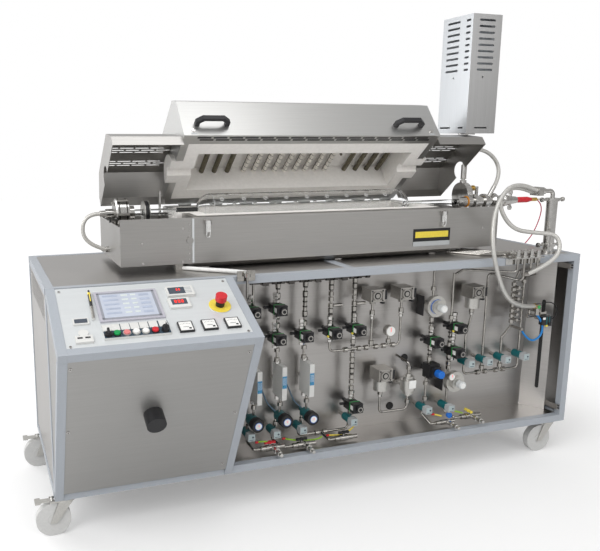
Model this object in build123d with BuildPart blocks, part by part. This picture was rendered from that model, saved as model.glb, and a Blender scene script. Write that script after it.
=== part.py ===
from build123d import *
import math
import os

os.makedirs("parts", exist_ok=True)

# Driving dimensions, in millimetres. X runs along the worktop from the frame's left end,
# Y goes back from the worktop's front edge and Z goes up from the floor.

# Welded frame
frame_length = 2280.0
frame_depth = 708.0
worktop_height = 925.0
caster_height = 155.0
rail = 30.0
rail_wall = 2.0
weld_gap = 0.2
crossbar_x = 1160.0
crossbar_width = 40.0

# Operator console on the left
console_width = 665.0
console_reach = 310.0
console_edge_height = 783.0

# Sheet metal
sheet = 2.0
panel_gap = 0.3
bay_depth = 172.0

# Furnace body on the worktop
furnace_x = 570.0
furnace_length = 1160.0
furnace_front = 170.0
furnace_depth = 460.0
parting_height = 1127.0
parting_gap = 1.0
face_height = 175.0
bevel_depth = 25.0
bevel_drop = 19.0
left_box_length = 280.0
right_box_length = 240.0
end_box_depth = 420.0
end_wall_drop = 28.0

# Opening lid
lid_open_angle = 40.0
lid_side_height = 172.0
lid_chamfer = 46.0
hinge_back = 12.0
hinge_drop = 9.0
hinge_pin_radius = 5.0
knuckle_radius = 9.0
knuckle_length = 60.0
pin_clearance = 0.05
cover_inset = 22.0
cover_depth = 396.0
cover_side = 41.0
cover_chamfer = 76.0
handle_length = 140.0
handle_standoff = 45.0

# Toggle latches on the furnace front
latch_x = (625.0, 1682.0)
latch_z = 1108.0

# Insulation and heating chamber
insulation_edge = 51.0
insulation_depth = 366.0
insulation_end = 30.0
chamber_margin = 85.0
chamber_half_width = 121.0
lid_chamber_depth = 118.0
lower_chamber_depth = 80.0
neck_passage = 23.0
board_joint = 0.2
boss_radius = 72.0
boss_length = 18.0
heater_radius = 11.0
heater_depth = 98.0
heater_end_gap = 0.3

# Quartz reactor tube
neck_radius = 13.0
tube_radius = 68.0
tube_wall = 4.0
dome_length = 55.0
dome_right = 1643.0
tube_left_end = 332.0
tube_right_end = 1945.0
dimple_pitch = 95.0
running_clearance = 0.05
tube_pulley_radius = 42.0
motor_pulley_radius = 21.0
belt_x = 440.0
belt_width = 16.0
motor_z = 1010.0

# Casters
wheel_radius = 62.5
wheel_width = 32.0
caster_trail = 48.0
caster_inset = 45.0
caster_inset_y = 60.0
axle_radius = 6.0
king_pin_radius = 8.0
pedal_pin = 3.0
pedal_back = 50.0
pedal_z = 132.5

# Places that follow from the dimensions above
frame_bottom = caster_height
tube_axis_y = furnace_front + furnace_depth / 2
tube_axis_z = parting_height
furnace_back = furnace_front + furnace_depth
furnace_end = furnace_x + furnace_length
body_top = parting_height - parting_gap
face_bottom = body_top - face_height
body_bottom = face_bottom - bevel_drop
left_box_x = furnace_x - left_box_length
right_box_end = furnace_end + right_box_length
end_wall_top = body_top - end_wall_drop
hinge_y = furnace_back + hinge_back
hinge_z = parting_height - hinge_drop
lid_top = parting_height + lid_side_height + lid_chamfer
cover_front = furnace_front + cover_inset
cover_back = cover_front + cover_depth
cover_bottom = end_wall_top + parting_gap
cover_top = cover_bottom + cover_side + cover_chamfer
insulation_front = furnace_front + insulation_edge
insulation_back = insulation_front + insulation_depth
chamber_left = furnace_x + chamber_margin
chamber_right = furnace_end - chamber_margin
bay_right = frame_length - rail
bay_top = worktop_height - rail
lid_axis = Axis((0, hinge_y, hinge_z), (1, 0, 0))
finished = {}


# Helpers that add simple shapes to the block they are called in

def block(x0, x1, y0, y1, z0, z1, mode=Mode.ADD):
    """A box given by its two opposite corners."""
    with Locations(((x0 + x1) / 2, (y0 + y1) / 2, (z0 + z1) / 2)):
        Box(x1 - x0, y1 - y0, z1 - z0, mode=mode)


def rods(centres, radius, length, axis, mode=Mode.ADD):
    """Equal cylinders centred on points, all along X, Y or Z."""
    turns = {"X": (0, 90, 0), "Y": (90, 0, 0), "Z": (0, 0, 0)}
    with Locations(*centres):
        Cylinder(radius, length, rotation=turns[axis], mode=mode)


def pipe(points, radius, bend=0.0):
    """A round pipe along straight runs joined by tangent bends."""
    with BuildLine() as route:
        if len(points) > 2:
            FilletPolyline(*points, radius=bend)
        else:
            Line(points[0], points[1])
    first = Vector(*points[1]) - Vector(*points[0])
    with BuildSketch(Plane(origin=points[0], z_dir=first)) as section:
        Circle(radius)
    sweep(section.sketch, path=route.line)


def prism(points, x0, x1, mode=Mode.ADD):
    """A solid whose outline in Y and Z runs along X from x0 to x1."""
    with BuildSketch(Plane.YZ.offset(x0)) as outline:
        with BuildLine():
            Polyline(*points, close=True)
        make_face()
    extrude(outline.sketch, amount=x1 - x0, mode=mode)


def turned(profile, origin, axis, mode=Mode.ADD):
    """A turned part from (distance, radius) corners along an axis through origin."""
    direction = Vector(*axis).normalized()
    across = Vector(0, 0, 1) if abs(direction.Z) < 0.9 else Vector(1, 0, 0)
    normal = direction.cross(across)
    with BuildSketch(Plane(origin=origin, x_dir=direction, z_dir=normal)) as half:
        with BuildLine():
            Polyline(*profile, close=True)
        make_face()
    revolve(half.sketch, Axis(origin, tuple(direction)), mode=mode)


def steps(sections, start=0.0, bore=0.0):
    """Corners of a stepped turned part from (length, radius) sections."""
    corners = [(start, bore)]
    place = start
    for length, radius in sections:
        if corners[-1] != (place, radius):
            corners.append((place, radius))
        place += length
        corners.append((place, radius))
    corners.append((place, bore))
    return corners


def on_console(x, down, height):
    """A plane on the sloping console panel, at a height above its rails."""
    return Plane(origin=console_plane.offset(height).from_local_coords((x, -down, 0)),
                 x_dir=(1, 0, 0), z_dir=slope_normal)


def console_block(x0, x1, down0, down1, low, high, mode=Mode.ADD):
    """A box standing on the sloping console panel."""
    with BuildSketch(on_console((x0 + x1) / 2, (down0 + down1) / 2, low)) as foot:
        Rectangle(x1 - x0, down1 - down0)
    extrude(foot.sketch, amount=high - low, mode=mode)


def console_disc(x, down, radius, low, high, mode=Mode.ADD):
    """A cylinder standing on the sloping console panel."""
    with BuildSketch(on_console(x, down, low)) as foot:
        Circle(radius)
    extrude(foot.sketch, amount=high - low, mode=mode)


def keep(builder, label, on_lid=False):
    """Name a finished piece, and swing it open when it belongs to the lid."""
    piece = builder.part
    if on_lid:
        piece = piece.rotate(lid_axis, -lid_open_angle)
    piece.label = label
    finished[label] = piece


slope_drop = worktop_height - console_edge_height
slope_length = math.hypot(console_reach, slope_drop)
slope_normal = Vector(0, -slope_drop / slope_length, console_reach / slope_length)
console_plane = Plane(origin=(0, 0, worktop_height), x_dir=(1, 0, 0), z_dir=slope_normal)
lower_rise = console_edge_height - frame_bottom
lower_length = math.hypot(console_reach, lower_rise)
lower_normal = Vector(0, -lower_rise / lower_length, -console_reach / lower_length)
lower_plane = Plane(origin=(0, -console_reach, console_edge_height), x_dir=(1, 0, 0), z_dir=lower_normal)


def lean_y(z):
    """How far forward the leaning console front reaches at a height."""
    return -console_reach * (z - frame_bottom) / lower_rise


# Welded frame of square tube

def square_tube(x0, x1, y0, y1, z0, z1):
    """A hollow square tube whose long side is its axis."""
    size = {"X": x1 - x0, "Y": y1 - y0, "Z": z1 - z0}
    along = max(size, key=size.get)
    inset = {name: 0.0 if name == along else rail_wall for name in size}
    block(x0, x1, y0, y1, z0, z1)
    block(x0 + inset["X"], x1 - inset["X"], y0 + inset["Y"], y1 - inset["Y"],
          z0 + inset["Z"], z1 - inset["Z"], mode=Mode.SUBTRACT)


caster_places = [(x, y) for x in (caster_inset, frame_length - caster_inset)
                 for y in (caster_inset_y, frame_depth - caster_inset_y)]

with BuildPart() as base_frame:
    inner = rail + weld_gap
    for z in (frame_bottom, worktop_height - rail):
        square_tube(0, frame_length, 0, rail, z, z + rail)
        square_tube(0, frame_length, frame_depth - rail, frame_depth, z, z + rail)
        for x in (0, frame_length - rail):
            square_tube(x, x + rail, inner, frame_depth - inner, z, z + rail)
    for x in (0, console_width - rail, frame_length - rail):
        square_tube(x, x + rail, 0, rail, frame_bottom + inner, worktop_height - inner)
    for x in (0, frame_length / 2 - rail / 2, frame_length - rail):
        square_tube(x, x + rail, frame_depth - rail, frame_depth, frame_bottom + inner,
                    worktop_height - inner)
    square_tube(crossbar_x - crossbar_width / 2, crossbar_x + crossbar_width / 2, inner,
                frame_depth - inner, worktop_height - rail, worktop_height)
    # Sloping and leaning rails at both sides of the console
    lean_width = rail * lower_length / lower_rise
    rail_end = console_edge_height - rail
    slope_rate = slope_drop / console_reach
    for x in (0, console_width - rail):
        prism([(-weld_gap, worktop_height - weld_gap * slope_rate),
               (-console_reach, console_edge_height), (lean_y(rail_end), rail_end),
               (-weld_gap, worktop_height - rail)], x, x + rail)
        low = rail_end - weld_gap
        inner_foot = frame_bottom + (lean_width - weld_gap) * lower_rise / console_reach
        prism([(lean_y(low), low), (lean_y(low) + lean_width, low), (-weld_gap, inner_foot),
               (-weld_gap, frame_bottom + weld_gap * lower_rise / console_reach)], x, x + rail)
    # Front rail of the console, square to the sloping panel
    along = (rail * console_reach / slope_length, rail * slope_drop / slope_length)
    under = (rail * console_reach / lower_length, -rail * lower_rise / lower_length)
    prism([(-console_reach, console_edge_height),
           (-console_reach + along[0], console_edge_height + along[1]),
           (-console_reach + along[0] + under[0], console_edge_height + along[1] + under[1]),
           (-console_reach + under[0], console_edge_height + under[1])],
          rail + weld_gap, console_width - rail - weld_gap)
    # Caster plates, swivel races and king pins under the four corners
    caster_plate = 4.0
    plate_top = frame_bottom - weld_gap
    for x, y in caster_places:
        block(x - 42, x + 42, y - 50, y + 50, plate_top - caster_plate, plate_top)
    rods([(x, y, frame_bottom - 10) for x, y in caster_places], 34, 12, "Z")
    rods([(x, y, frame_bottom - 22) for x, y in caster_places], king_pin_radius, 24, "Z")
keep(base_frame, "base_frame")


# Cover panels of the worktop, the two ends and the back

with BuildPart() as body_panels:
    top = worktop_height - 0.5
    inner = rail + panel_gap
    half_bar = crossbar_width / 2 + panel_gap
    block(inner, crossbar_x - half_bar, inner, frame_depth - inner, top - sheet, top)
    block(crossbar_x + half_bar, frame_length - inner, inner, frame_depth - inner, top - sheet, top)
    side_low = frame_bottom + inner
    side_high = worktop_height - inner
    side_recess = 3.0
    # The left end has a perforated vent below its upper edge
    with BuildSketch(Plane.YZ.offset(side_recess)) as left_side:
        with Locations((frame_depth / 2, (side_low + side_high) / 2)):
            Rectangle(frame_depth - 2 * inner, side_high - side_low)
        with Locations((frame_depth / 2, side_high - 60)):
            with GridLocations(24, 20, 22, 5):
                Circle(6, mode=Mode.SUBTRACT)
            with GridLocations(24, 20, 21, 4):
                Circle(6, mode=Mode.SUBTRACT)
    extrude(left_side.sketch, amount=sheet)
    block(frame_length - side_recess - sheet, frame_length - side_recess, inner,
          frame_depth - inner, side_low, side_high)
    back = frame_depth - side_recess
    middle = frame_length / 2
    for x0, x1 in ((inner, middle - rail / 2 - panel_gap),
                   (middle + rail / 2 + panel_gap, frame_length - inner)):
        block(x0, x1, back - sheet, back, side_low, side_high)
keep(body_panels, "body_panels")


# Open bay at the front: floor tray, mounting panel and the slanted slotted plate

slant_start = Vector(2172, bay_depth, 0)
slant_end = Vector(2238, 80.3, 0)
slant_slot_width = 16.0

with BuildPart() as bay_panels:
    wall_x = console_width - rail + sheet
    block(wall_x, bay_right - panel_gap, rail + panel_gap, bay_depth + sheet,
          frame_bottom + rail - sheet, frame_bottom + rail)
    block(wall_x, slant_start.X - sheet, bay_depth, bay_depth + sheet, frame_bottom + rail,
          bay_top - panel_gap)
    block(wall_x, wall_x + sheet, rail + panel_gap, bay_depth, frame_bottom + rail,
          bay_top - panel_gap)
    slant = slant_end - slant_start
    facing = Vector(slant.Y, -slant.X, 0).normalized()
    height = bay_top - panel_gap - frame_bottom - rail
    with BuildSketch(Plane(origin=slant_start + Vector(0, 0, frame_bottom + rail),
                           x_dir=slant, z_dir=facing)) as slotted:
        with Locations((slant.length / 2, height / 2)):
            Rectangle(slant.length, height)
        with Locations((72, 305)):
            SlotOverall(420, slant_slot_width, rotation=90, mode=Mode.SUBTRACT)
    extrude(slotted.sketch, amount=-sheet)
    # Small corner brackets that hold the plate to the right post
    for z in (frame_bottom + 67, frame_bottom + 715):
        block(2236, 2250, 4, 6, z - 12, z + 12)
        block(2236, 2238, 6, slant_end.Y - 1, z - 12, z + 12)
keep(bay_panels, "bay_panels")


# Console panels: the sloping top, the leaning front and the side infills

panel_top = -1.0

with BuildPart() as console_panels:
    console_block(rail + panel_gap, console_width - rail - panel_gap, 5,
                  slope_length - rail - panel_gap, panel_top - sheet, panel_top)
    with BuildSketch(lower_plane.offset(panel_top)) as leaning:
        with Locations((console_width / 2, -(rail + 1 + 668) / 2)):
            Rectangle(console_width - 2 * rail - 2 * panel_gap, 668 - rail - 1)
    extrude(leaning.sketch, amount=-sheet)
    # Infill panels between the front posts and the console's side rails
    infill_top = worktop_height - rail - 2 * panel_gap
    infill_front = lean_y(rail_end) + lean_width + panel_gap
    infill_fall = (worktop_height - rail - rail_end) / lean_y(rail_end) * infill_front
    for x in (side_recess, console_width - side_recess - sheet):
        prism([(-panel_gap, inner_foot + 1), (-panel_gap, infill_top),
               (infill_front, infill_top - infill_fall), (infill_front, rail_end + 1)], x, x + sheet)
keep(console_panels, "console_panels")


# Lower furnace casing with its two open end boxes

with BuildPart() as furnace_shell:
    front = furnace_front
    back = furnace_back
    prism([(front, body_top), (front, face_bottom), (front + bevel_depth, body_bottom),
           (back - bevel_depth, body_bottom), (back, face_bottom), (back, body_top)],
          furnace_x, furnace_end)
    prism([(front + sheet, body_top - sheet), (front + sheet, face_bottom + 1),
           (front + bevel_depth + 1, body_bottom + sheet), (back - bevel_depth - 1, body_bottom + sheet),
           (back - sheet, face_bottom + 1), (back - sheet, body_top - sheet)],
          furnace_x + sheet, furnace_end - sheet, mode=Mode.SUBTRACT)
    block(furnace_x + insulation_end, furnace_end - insulation_end, insulation_front, insulation_back,
          body_top - 2 * sheet, body_top + 1, mode=Mode.SUBTRACT)
    block(furnace_x - 1, furnace_end + 1, tube_axis_y - boss_radius, tube_axis_y + boss_radius,
          body_top - 2 * sheet, body_top + 1, mode=Mode.SUBTRACT)
    # End boxes: full-height front wall, lower end and back walls
    for x0, x1 in ((left_box_x, furnace_x), (furnace_end, right_box_end)):
        block(x0, x1, front, front + end_box_depth, face_bottom, body_top)
        inner0 = x0 + sheet if x0 == left_box_x else x0
        inner1 = x1 if x0 == left_box_x else x1 - sheet
        block(inner0, inner1, front + sheet, front + end_box_depth - sheet,
              face_bottom + sheet, body_top + 1, mode=Mode.SUBTRACT)
        block(x0 - 1 if x0 == left_box_x else x0, x1 if x0 == left_box_x else x1 + 1,
              front + sheet, front + end_box_depth + 1, end_wall_top, body_top + 1, mode=Mode.SUBTRACT)
    # Half-round seats for the white bosses in the two end walls
    rods([(furnace_x + 1, tube_axis_y, tube_axis_z), (furnace_end - 1, tube_axis_y, tube_axis_z)],
         boss_radius, 2 * sheet + 1, "X", mode=Mode.SUBTRACT)
    # Feet between the casing and the worktop
    for x in (furnace_x + 60, furnace_x + furnace_length / 2 + 60, furnace_end - 60):
        for y in (front + 60, back - 60):
            block(x - 15, x + 15, y - 15, y + 15, worktop_height - 0.5, body_bottom)
    # Toggle latch bases with their pins
    for x in latch_x:
        block(x - 14, x + 14, front - 2, front, latch_z - 46, latch_z + 10)
        for side in (-1, 1):
            block(x + side * 12 - 1.5, x + side * 12 + 1.5, front - 16, front - 2, latch_z - 8, latch_z + 8)
        rods([(x, front - 9, latch_z)], 2.5, 24, "X")
    # Round lock on the left box, and the cover strip between the casings
    rods([(555, front - 3, 1040)], 13, 6, "Y")
    block(564, 572, front - 2, front, face_bottom + 2, body_top - 2)
    # Fixed hinge knuckles, their leaves and the through pin
    hinge_slots = 8
    hinge_pitch = furnace_length / hinge_slots
    for number in range(hinge_slots):
        x = furnace_x + hinge_pitch * (number + 0.5) - knuckle_length / 2 - 1
        block(x - knuckle_length / 2, x + knuckle_length / 2, back, hinge_y, hinge_z - 22, hinge_z)
        rods([(x, hinge_y, hinge_z)], knuckle_radius, knuckle_length, "X")
        rods([(x + knuckle_length / 2 + 31, hinge_y, hinge_z)], hinge_pin_radius, 62, "X")
keep(furnace_shell, "furnace_shell")


def insulation(bottom, top, chamber_low, chamber_high, half):
    """A ceramic-fibre block with a chamber, neck grooves and half-round end bosses."""
    block(furnace_x + insulation_end, furnace_end - insulation_end, insulation_front, insulation_back,
          bottom, top)
    ends = ((furnace_x - boss_length, furnace_x + insulation_end),
            (furnace_end - insulation_end, furnace_end + boss_length))
    for x0, x1 in ends:
        rods([((x0 + x1) / 2, tube_axis_y, tube_axis_z)], boss_radius, x1 - x0, "X")
    reach = boss_radius + 1
    for x0, x1 in ends:
        unwanted = (top, top + reach) if half == "lower" else (bottom - reach, bottom)
        block(x0 - 1, x1 + 1, tube_axis_y - reach, tube_axis_y + reach, *unwanted, mode=Mode.SUBTRACT)
    block(chamber_left, chamber_right, tube_axis_y + 5 - chamber_half_width,
          tube_axis_y + 5 + chamber_half_width, chamber_low, chamber_high, mode=Mode.SUBTRACT)
    rods([((furnace_x + furnace_end) / 2, tube_axis_y, tube_axis_z)], neck_passage,
         furnace_length + 4 * boss_length, "X", mode=Mode.SUBTRACT)


with BuildPart() as lower_insulation:
    insulation(body_bottom + sheet, body_top, parting_height - lower_chamber_depth, body_top + 1, "lower")
keep(lower_insulation, "lower_insulation")


# Lid: folded steel hood, white insulation, heating rods, handles and end covers

lid_profile = [(furnace_front, parting_height), (furnace_front, parting_height + lid_side_height),
               (furnace_front + lid_chamfer, lid_top), (furnace_back - lid_chamfer, lid_top),
               (furnace_back, parting_height + lid_side_height), (furnace_back, parting_height)]

with BuildPart() as lid_shell:
    prism(lid_profile, furnace_x, furnace_end)
    prism([(furnace_front + sheet, parting_height + sheet),
           (furnace_front + sheet, parting_height + lid_side_height - 1),
           (furnace_front + lid_chamfer + 1, lid_top - sheet),
           (furnace_back - lid_chamfer - 1, lid_top - sheet),
           (furnace_back - sheet, parting_height + lid_side_height - 1),
           (furnace_back - sheet, parting_height + sheet)],
          furnace_x + sheet, furnace_end - sheet, mode=Mode.SUBTRACT)
    block(furnace_x + insulation_end, furnace_end - insulation_end, insulation_front, insulation_back,
          parting_height - 1, parting_height + 2 * sheet, mode=Mode.SUBTRACT)
    block(furnace_x - 1, furnace_end + 1, tube_axis_y - boss_radius, tube_axis_y + boss_radius,
          parting_height - 1, parting_height + 2 * sheet, mode=Mode.SUBTRACT)
    rods([(furnace_x + 1, tube_axis_y, tube_axis_z), (furnace_end - 1, tube_axis_y, tube_axis_z)],
         boss_radius, 2 * sheet + 1, "X", mode=Mode.SUBTRACT)
    # Two staggered rows of cooling slots in the lip under the front edge
    for row, shift in ((14, 0), (27, 12)):
        with BuildSketch(Plane.XY.offset(parting_height)) as slots:
            with Locations((furnace_x + furnace_length / 2 + shift, furnace_front + row)):
                with GridLocations(66, 10, 16, 1):
                    SlotOverall(58, 6)
        extrude(slots.sketch, amount=sheet, mode=Mode.SUBTRACT)
    # Moving hinge knuckles around the pin, each with a leaf up the back
    for number in range(hinge_slots):
        x = furnace_x + hinge_pitch * (number + 0.5) + knuckle_length / 2 + 1
        low = hinge_z + hinge_pin_radius + 1
        block(x - knuckle_length / 2 + 1, x + knuckle_length / 2 - 1, furnace_back, hinge_y, low, low + 26)
        rods([(x, hinge_y, hinge_z)], knuckle_radius, knuckle_length - 2, "X")
        rods([(x, hinge_y, hinge_z)], hinge_pin_radius + pin_clearance, knuckle_length, "X",
             mode=Mode.SUBTRACT)
keep(lid_shell, "lid_shell", on_lid=True)

with BuildPart() as lid_insulation:
    insulation_top = lid_top - 4 * sheet
    insulation(parting_height, insulation_top,
               parting_height - 1, parting_height + lid_chamber_depth, "upper")
    # Joints between the boards: around the chamber, behind the bosses and through the tube's passages
    for end, sign in ((furnace_x, 1), (furnace_end, -1)):
        for away in (insulation_end, chamber_margin):
            x = end + sign * away
            block(x - board_joint / 2, x + board_joint / 2, insulation_front - 1, insulation_back + 1,
                  parting_height - 1, insulation_top + 1, mode=Mode.SUBTRACT)
        outer = end - sign * (boss_length + 1)
        inner = end + sign * chamber_margin
        block(min(outer, inner), max(outer, inner), tube_axis_y - board_joint / 2,
              tube_axis_y + board_joint / 2, parting_height - 1, insulation_top + 1, mode=Mode.SUBTRACT)
keep(lid_insulation, "lid_insulation", on_lid=True)

heater_x = [744, 803, 863, 940, 989, 1039, 1089, 1139, 1189, 1240, 1291, 1342, 1445, 1504, 1563, 1622]

with BuildPart() as lid_heaters:
    rods([(x, tube_axis_y + 5, parting_height + heater_depth) for x in heater_x], heater_radius,
         2 * (chamber_half_width - heater_end_gap), "Y")
keep(lid_heaters, "lid_heaters", on_lid=True)

handle_places = (692, 1584)
handle_z = parting_height + 53

with BuildPart() as lid_handles:
    reach = furnace_front - handle_standoff
    half = handle_length / 2
    for x in handle_places:
        with BuildSketch(Plane.XY.offset(handle_z - 9)) as bridge:
            with BuildLine():
                Polyline((x - half, furnace_front), (x - half, furnace_front - 24), (x - half + 26, reach),
                         (x + half - 26, reach), (x + half, furnace_front - 24), (x + half, furnace_front),
                         (x + half - 17, furnace_front), (x + half - 17, furnace_front - 18),
                         (x + half - 34, reach + 14), (x - half + 34, reach + 14),
                         (x - half + 17, furnace_front - 18), (x - half + 17, furnace_front), close=True)
            make_face()
        extrude(bridge.sketch, amount=18)
keep(lid_handles, "lid_handles", on_lid=True)

with BuildPart() as lid_end_covers:
    shoulder = cover_bottom + cover_side
    for x0, x1, open_end in ((left_box_x + 3, furnace_x, "right"), (furnace_end, right_box_end, "left")):
        prism([(cover_front, cover_bottom), (cover_front, shoulder), (cover_front + cover_chamfer, cover_top),
               (cover_back - cover_chamfer, cover_top), (cover_back, shoulder), (cover_back, cover_bottom)],
              x0, x1)
        inner0 = x0 + sheet if open_end == "right" else x0
        inner1 = x1 if open_end == "right" else x1 - sheet
        prism([(cover_front + sheet, cover_bottom - 1), (cover_front + sheet, shoulder - 1),
               (cover_front + cover_chamfer + 1, cover_top - sheet),
               (cover_back - cover_chamfer - 1, cover_top - sheet),
               (cover_back - sheet, shoulder - 1), (cover_back - sheet, cover_bottom - 1)],
              inner0, inner1, mode=Mode.SUBTRACT)
        # Half-round notch for the tube fittings in the outer end
        outer = x0 + 1 if open_end == "right" else x1 - 1
        rods([(outer, tube_axis_y, tube_axis_z - 15)], 41, 4, "X", mode=Mode.SUBTRACT)
        # Ventilation slots in the flat top, in two groups of three staggered rows
        slot_length = 0.2 * (x1 - x0)
        slot_pitch = slot_length + 7
        middle_x = (x0 + x1) / 2
        with BuildSketch(Plane.XY.offset(cover_top - sheet)) as vents:
            for y in (366, 450):
                for row, shift in ((-1, -0.2), (0, 0.2), (1, -0.2)):
                    with Locations((middle_x + shift * slot_pitch, y + 13 * row)):
                        with GridLocations(slot_pitch, 10, 4, 1):
                            SlotOverall(slot_length, 5)
        extrude(vents.sketch, amount=sheet, mode=Mode.SUBTRACT)
keep(lid_end_covers, "lid_end_covers", on_lid=True)


# Rotating quartz tube with its belt pulley

with BuildPart() as quartz_tube:
    tube_plane = Plane(origin=(0, tube_axis_y, tube_axis_z), x_dir=(1, 0, 0), z_dir=(0, -1, 0))
    with BuildSketch(tube_plane) as wall:
        dome_left = furnace_x + furnace_end - dome_right
        inner_radius = tube_radius - tube_wall
        neck_bore = neck_radius - tube_wall
        with BuildLine():
            Line((tube_left_end, neck_radius), (dome_left, neck_radius))
            ThreePointArc((dome_left, neck_radius), (dome_left + 16, 51),
                          (dome_left + dome_length, tube_radius))
            Line((dome_left + dome_length, tube_radius), (dome_right - dome_length, tube_radius))
            ThreePointArc((dome_right - dome_length, tube_radius), (dome_right - 16, 51),
                          (dome_right, neck_radius))
            Line((dome_right, neck_radius), (tube_right_end, neck_radius))
            Line((tube_right_end, neck_radius), (tube_right_end, neck_bore))
            Line((tube_right_end, neck_bore), (dome_right - tube_wall, neck_bore))
            ThreePointArc((dome_right - tube_wall, neck_bore), (dome_right - 20, 48),
                          (dome_right - dome_length, inner_radius))
            Line((dome_right - dome_length, inner_radius), (dome_left + dome_length, inner_radius))
            ThreePointArc((dome_left + dome_length, inner_radius), (dome_left + 20, 48),
                          (dome_left + tube_wall, neck_bore))
            Line((dome_left + tube_wall, neck_bore), (tube_left_end, neck_bore))
            Line((tube_left_end, neck_bore), (tube_left_end, neck_radius))
        make_face()
        # Weld seams between the two necks and the domes
        for seam in (dome_left - weld_gap / 2, dome_right + weld_gap / 2):
            with Locations((seam, (neck_radius + neck_bore) / 2)):
                Rectangle(weld_gap, 2 * tube_wall, mode=Mode.SUBTRACT)
    revolve(wall.sketch, Axis((0, tube_axis_y, tube_axis_z), (1, 0, 0)))
    # Rows of shallow dimples that stir the powder
    dimples = []
    for row in range(6):
        angle = math.radians(60 * row + 15)
        for place in range(9):
            x = furnace_x + furnace_length / 2 + dimple_pitch * (place - 4 + 0.5 * (row % 2) - 0.25)
            dimples.append((x, tube_axis_y + (tube_radius + 12) * math.cos(angle),
                            tube_axis_z + (tube_radius + 12) * math.sin(angle)))
    with Locations(*dimples):
        Sphere(14, mode=Mode.SUBTRACT)
keep(quartz_tube, "quartz_tube")

with BuildPart() as tube_pulley:
    turned(steps([(belt_width + 6, 24)], belt_x - belt_width / 2 - 3, neck_radius),
           (0, tube_axis_y, tube_axis_z),
           (1, 0, 0))
    turned(steps([(3, tube_pulley_radius + 4), (belt_width, tube_pulley_radius), (3, tube_pulley_radius + 4)],
                 belt_x - belt_width / 2 - 3, 24), (0, tube_axis_y, tube_axis_z), (1, 0, 0))
keep(tube_pulley, "tube_pulley")

motor_shaft = 6.0

with BuildPart() as motor_pulley:
    turned(steps([(3, motor_pulley_radius + 4), (belt_width, motor_pulley_radius),
                  (3, motor_pulley_radius + 4)],
                 belt_x - belt_width / 2 - 3, motor_shaft + running_clearance),
           (0, tube_axis_y, motor_z), (1, 0, 0))
keep(motor_pulley, "motor_pulley")

with BuildPart() as drive_unit:
    # Geared motor on a foot, with its shaft through the small pulley
    rods([(510, tube_axis_y, motor_z)], 30, 90, "X")
    block(470, 550, tube_axis_y - 24, tube_axis_y + 24, face_bottom + sheet, motor_z - 24)
    rods([(440, tube_axis_y, motor_z)], motor_shaft, 60, "X")
    # Flat belt with two straight strands, just clear of both pulleys
    belt_gap = 0.3
    belt_thickness = 2.0
    rise = tube_axis_z - motor_z
    lean = math.asin((tube_pulley_radius - motor_pulley_radius) / rise)
    side = math.cos(lean)
    up = math.sin(lean)
    with BuildSketch(Plane.YZ.offset(belt_x - belt_width / 2 + 1)) as belt:
        for extra, mode in ((belt_gap + belt_thickness, Mode.ADD), (belt_gap, Mode.SUBTRACT)):
            big = tube_pulley_radius + extra
            small = motor_pulley_radius + extra
            right_big = (tube_axis_y + big * side, tube_axis_z - big * up)
            left_big = (tube_axis_y - big * side, tube_axis_z - big * up)
            right_small = (tube_axis_y + small * side, motor_z - small * up)
            left_small = (tube_axis_y - small * side, motor_z - small * up)
            with BuildLine():
                ThreePointArc(left_big, (tube_axis_y, tube_axis_z + big), right_big)
                Line(right_big, right_small)
                ThreePointArc(right_small, (tube_axis_y, motor_z - small), left_small)
                Line(left_small, left_big)
            make_face(mode=mode)
    extrude(belt.sketch, amount=belt_width - 2)
keep(drive_unit, "drive_unit")


# Gas-tight fittings on both ends of the tube

exhaust_x = 1990.0
exhaust_y = 450.0
tower_bottom = 1440.0
tower_x = (1908.0, 2063.0)
tower_y = (348.0, 558.0)
sensor_start = 2275.0

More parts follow.
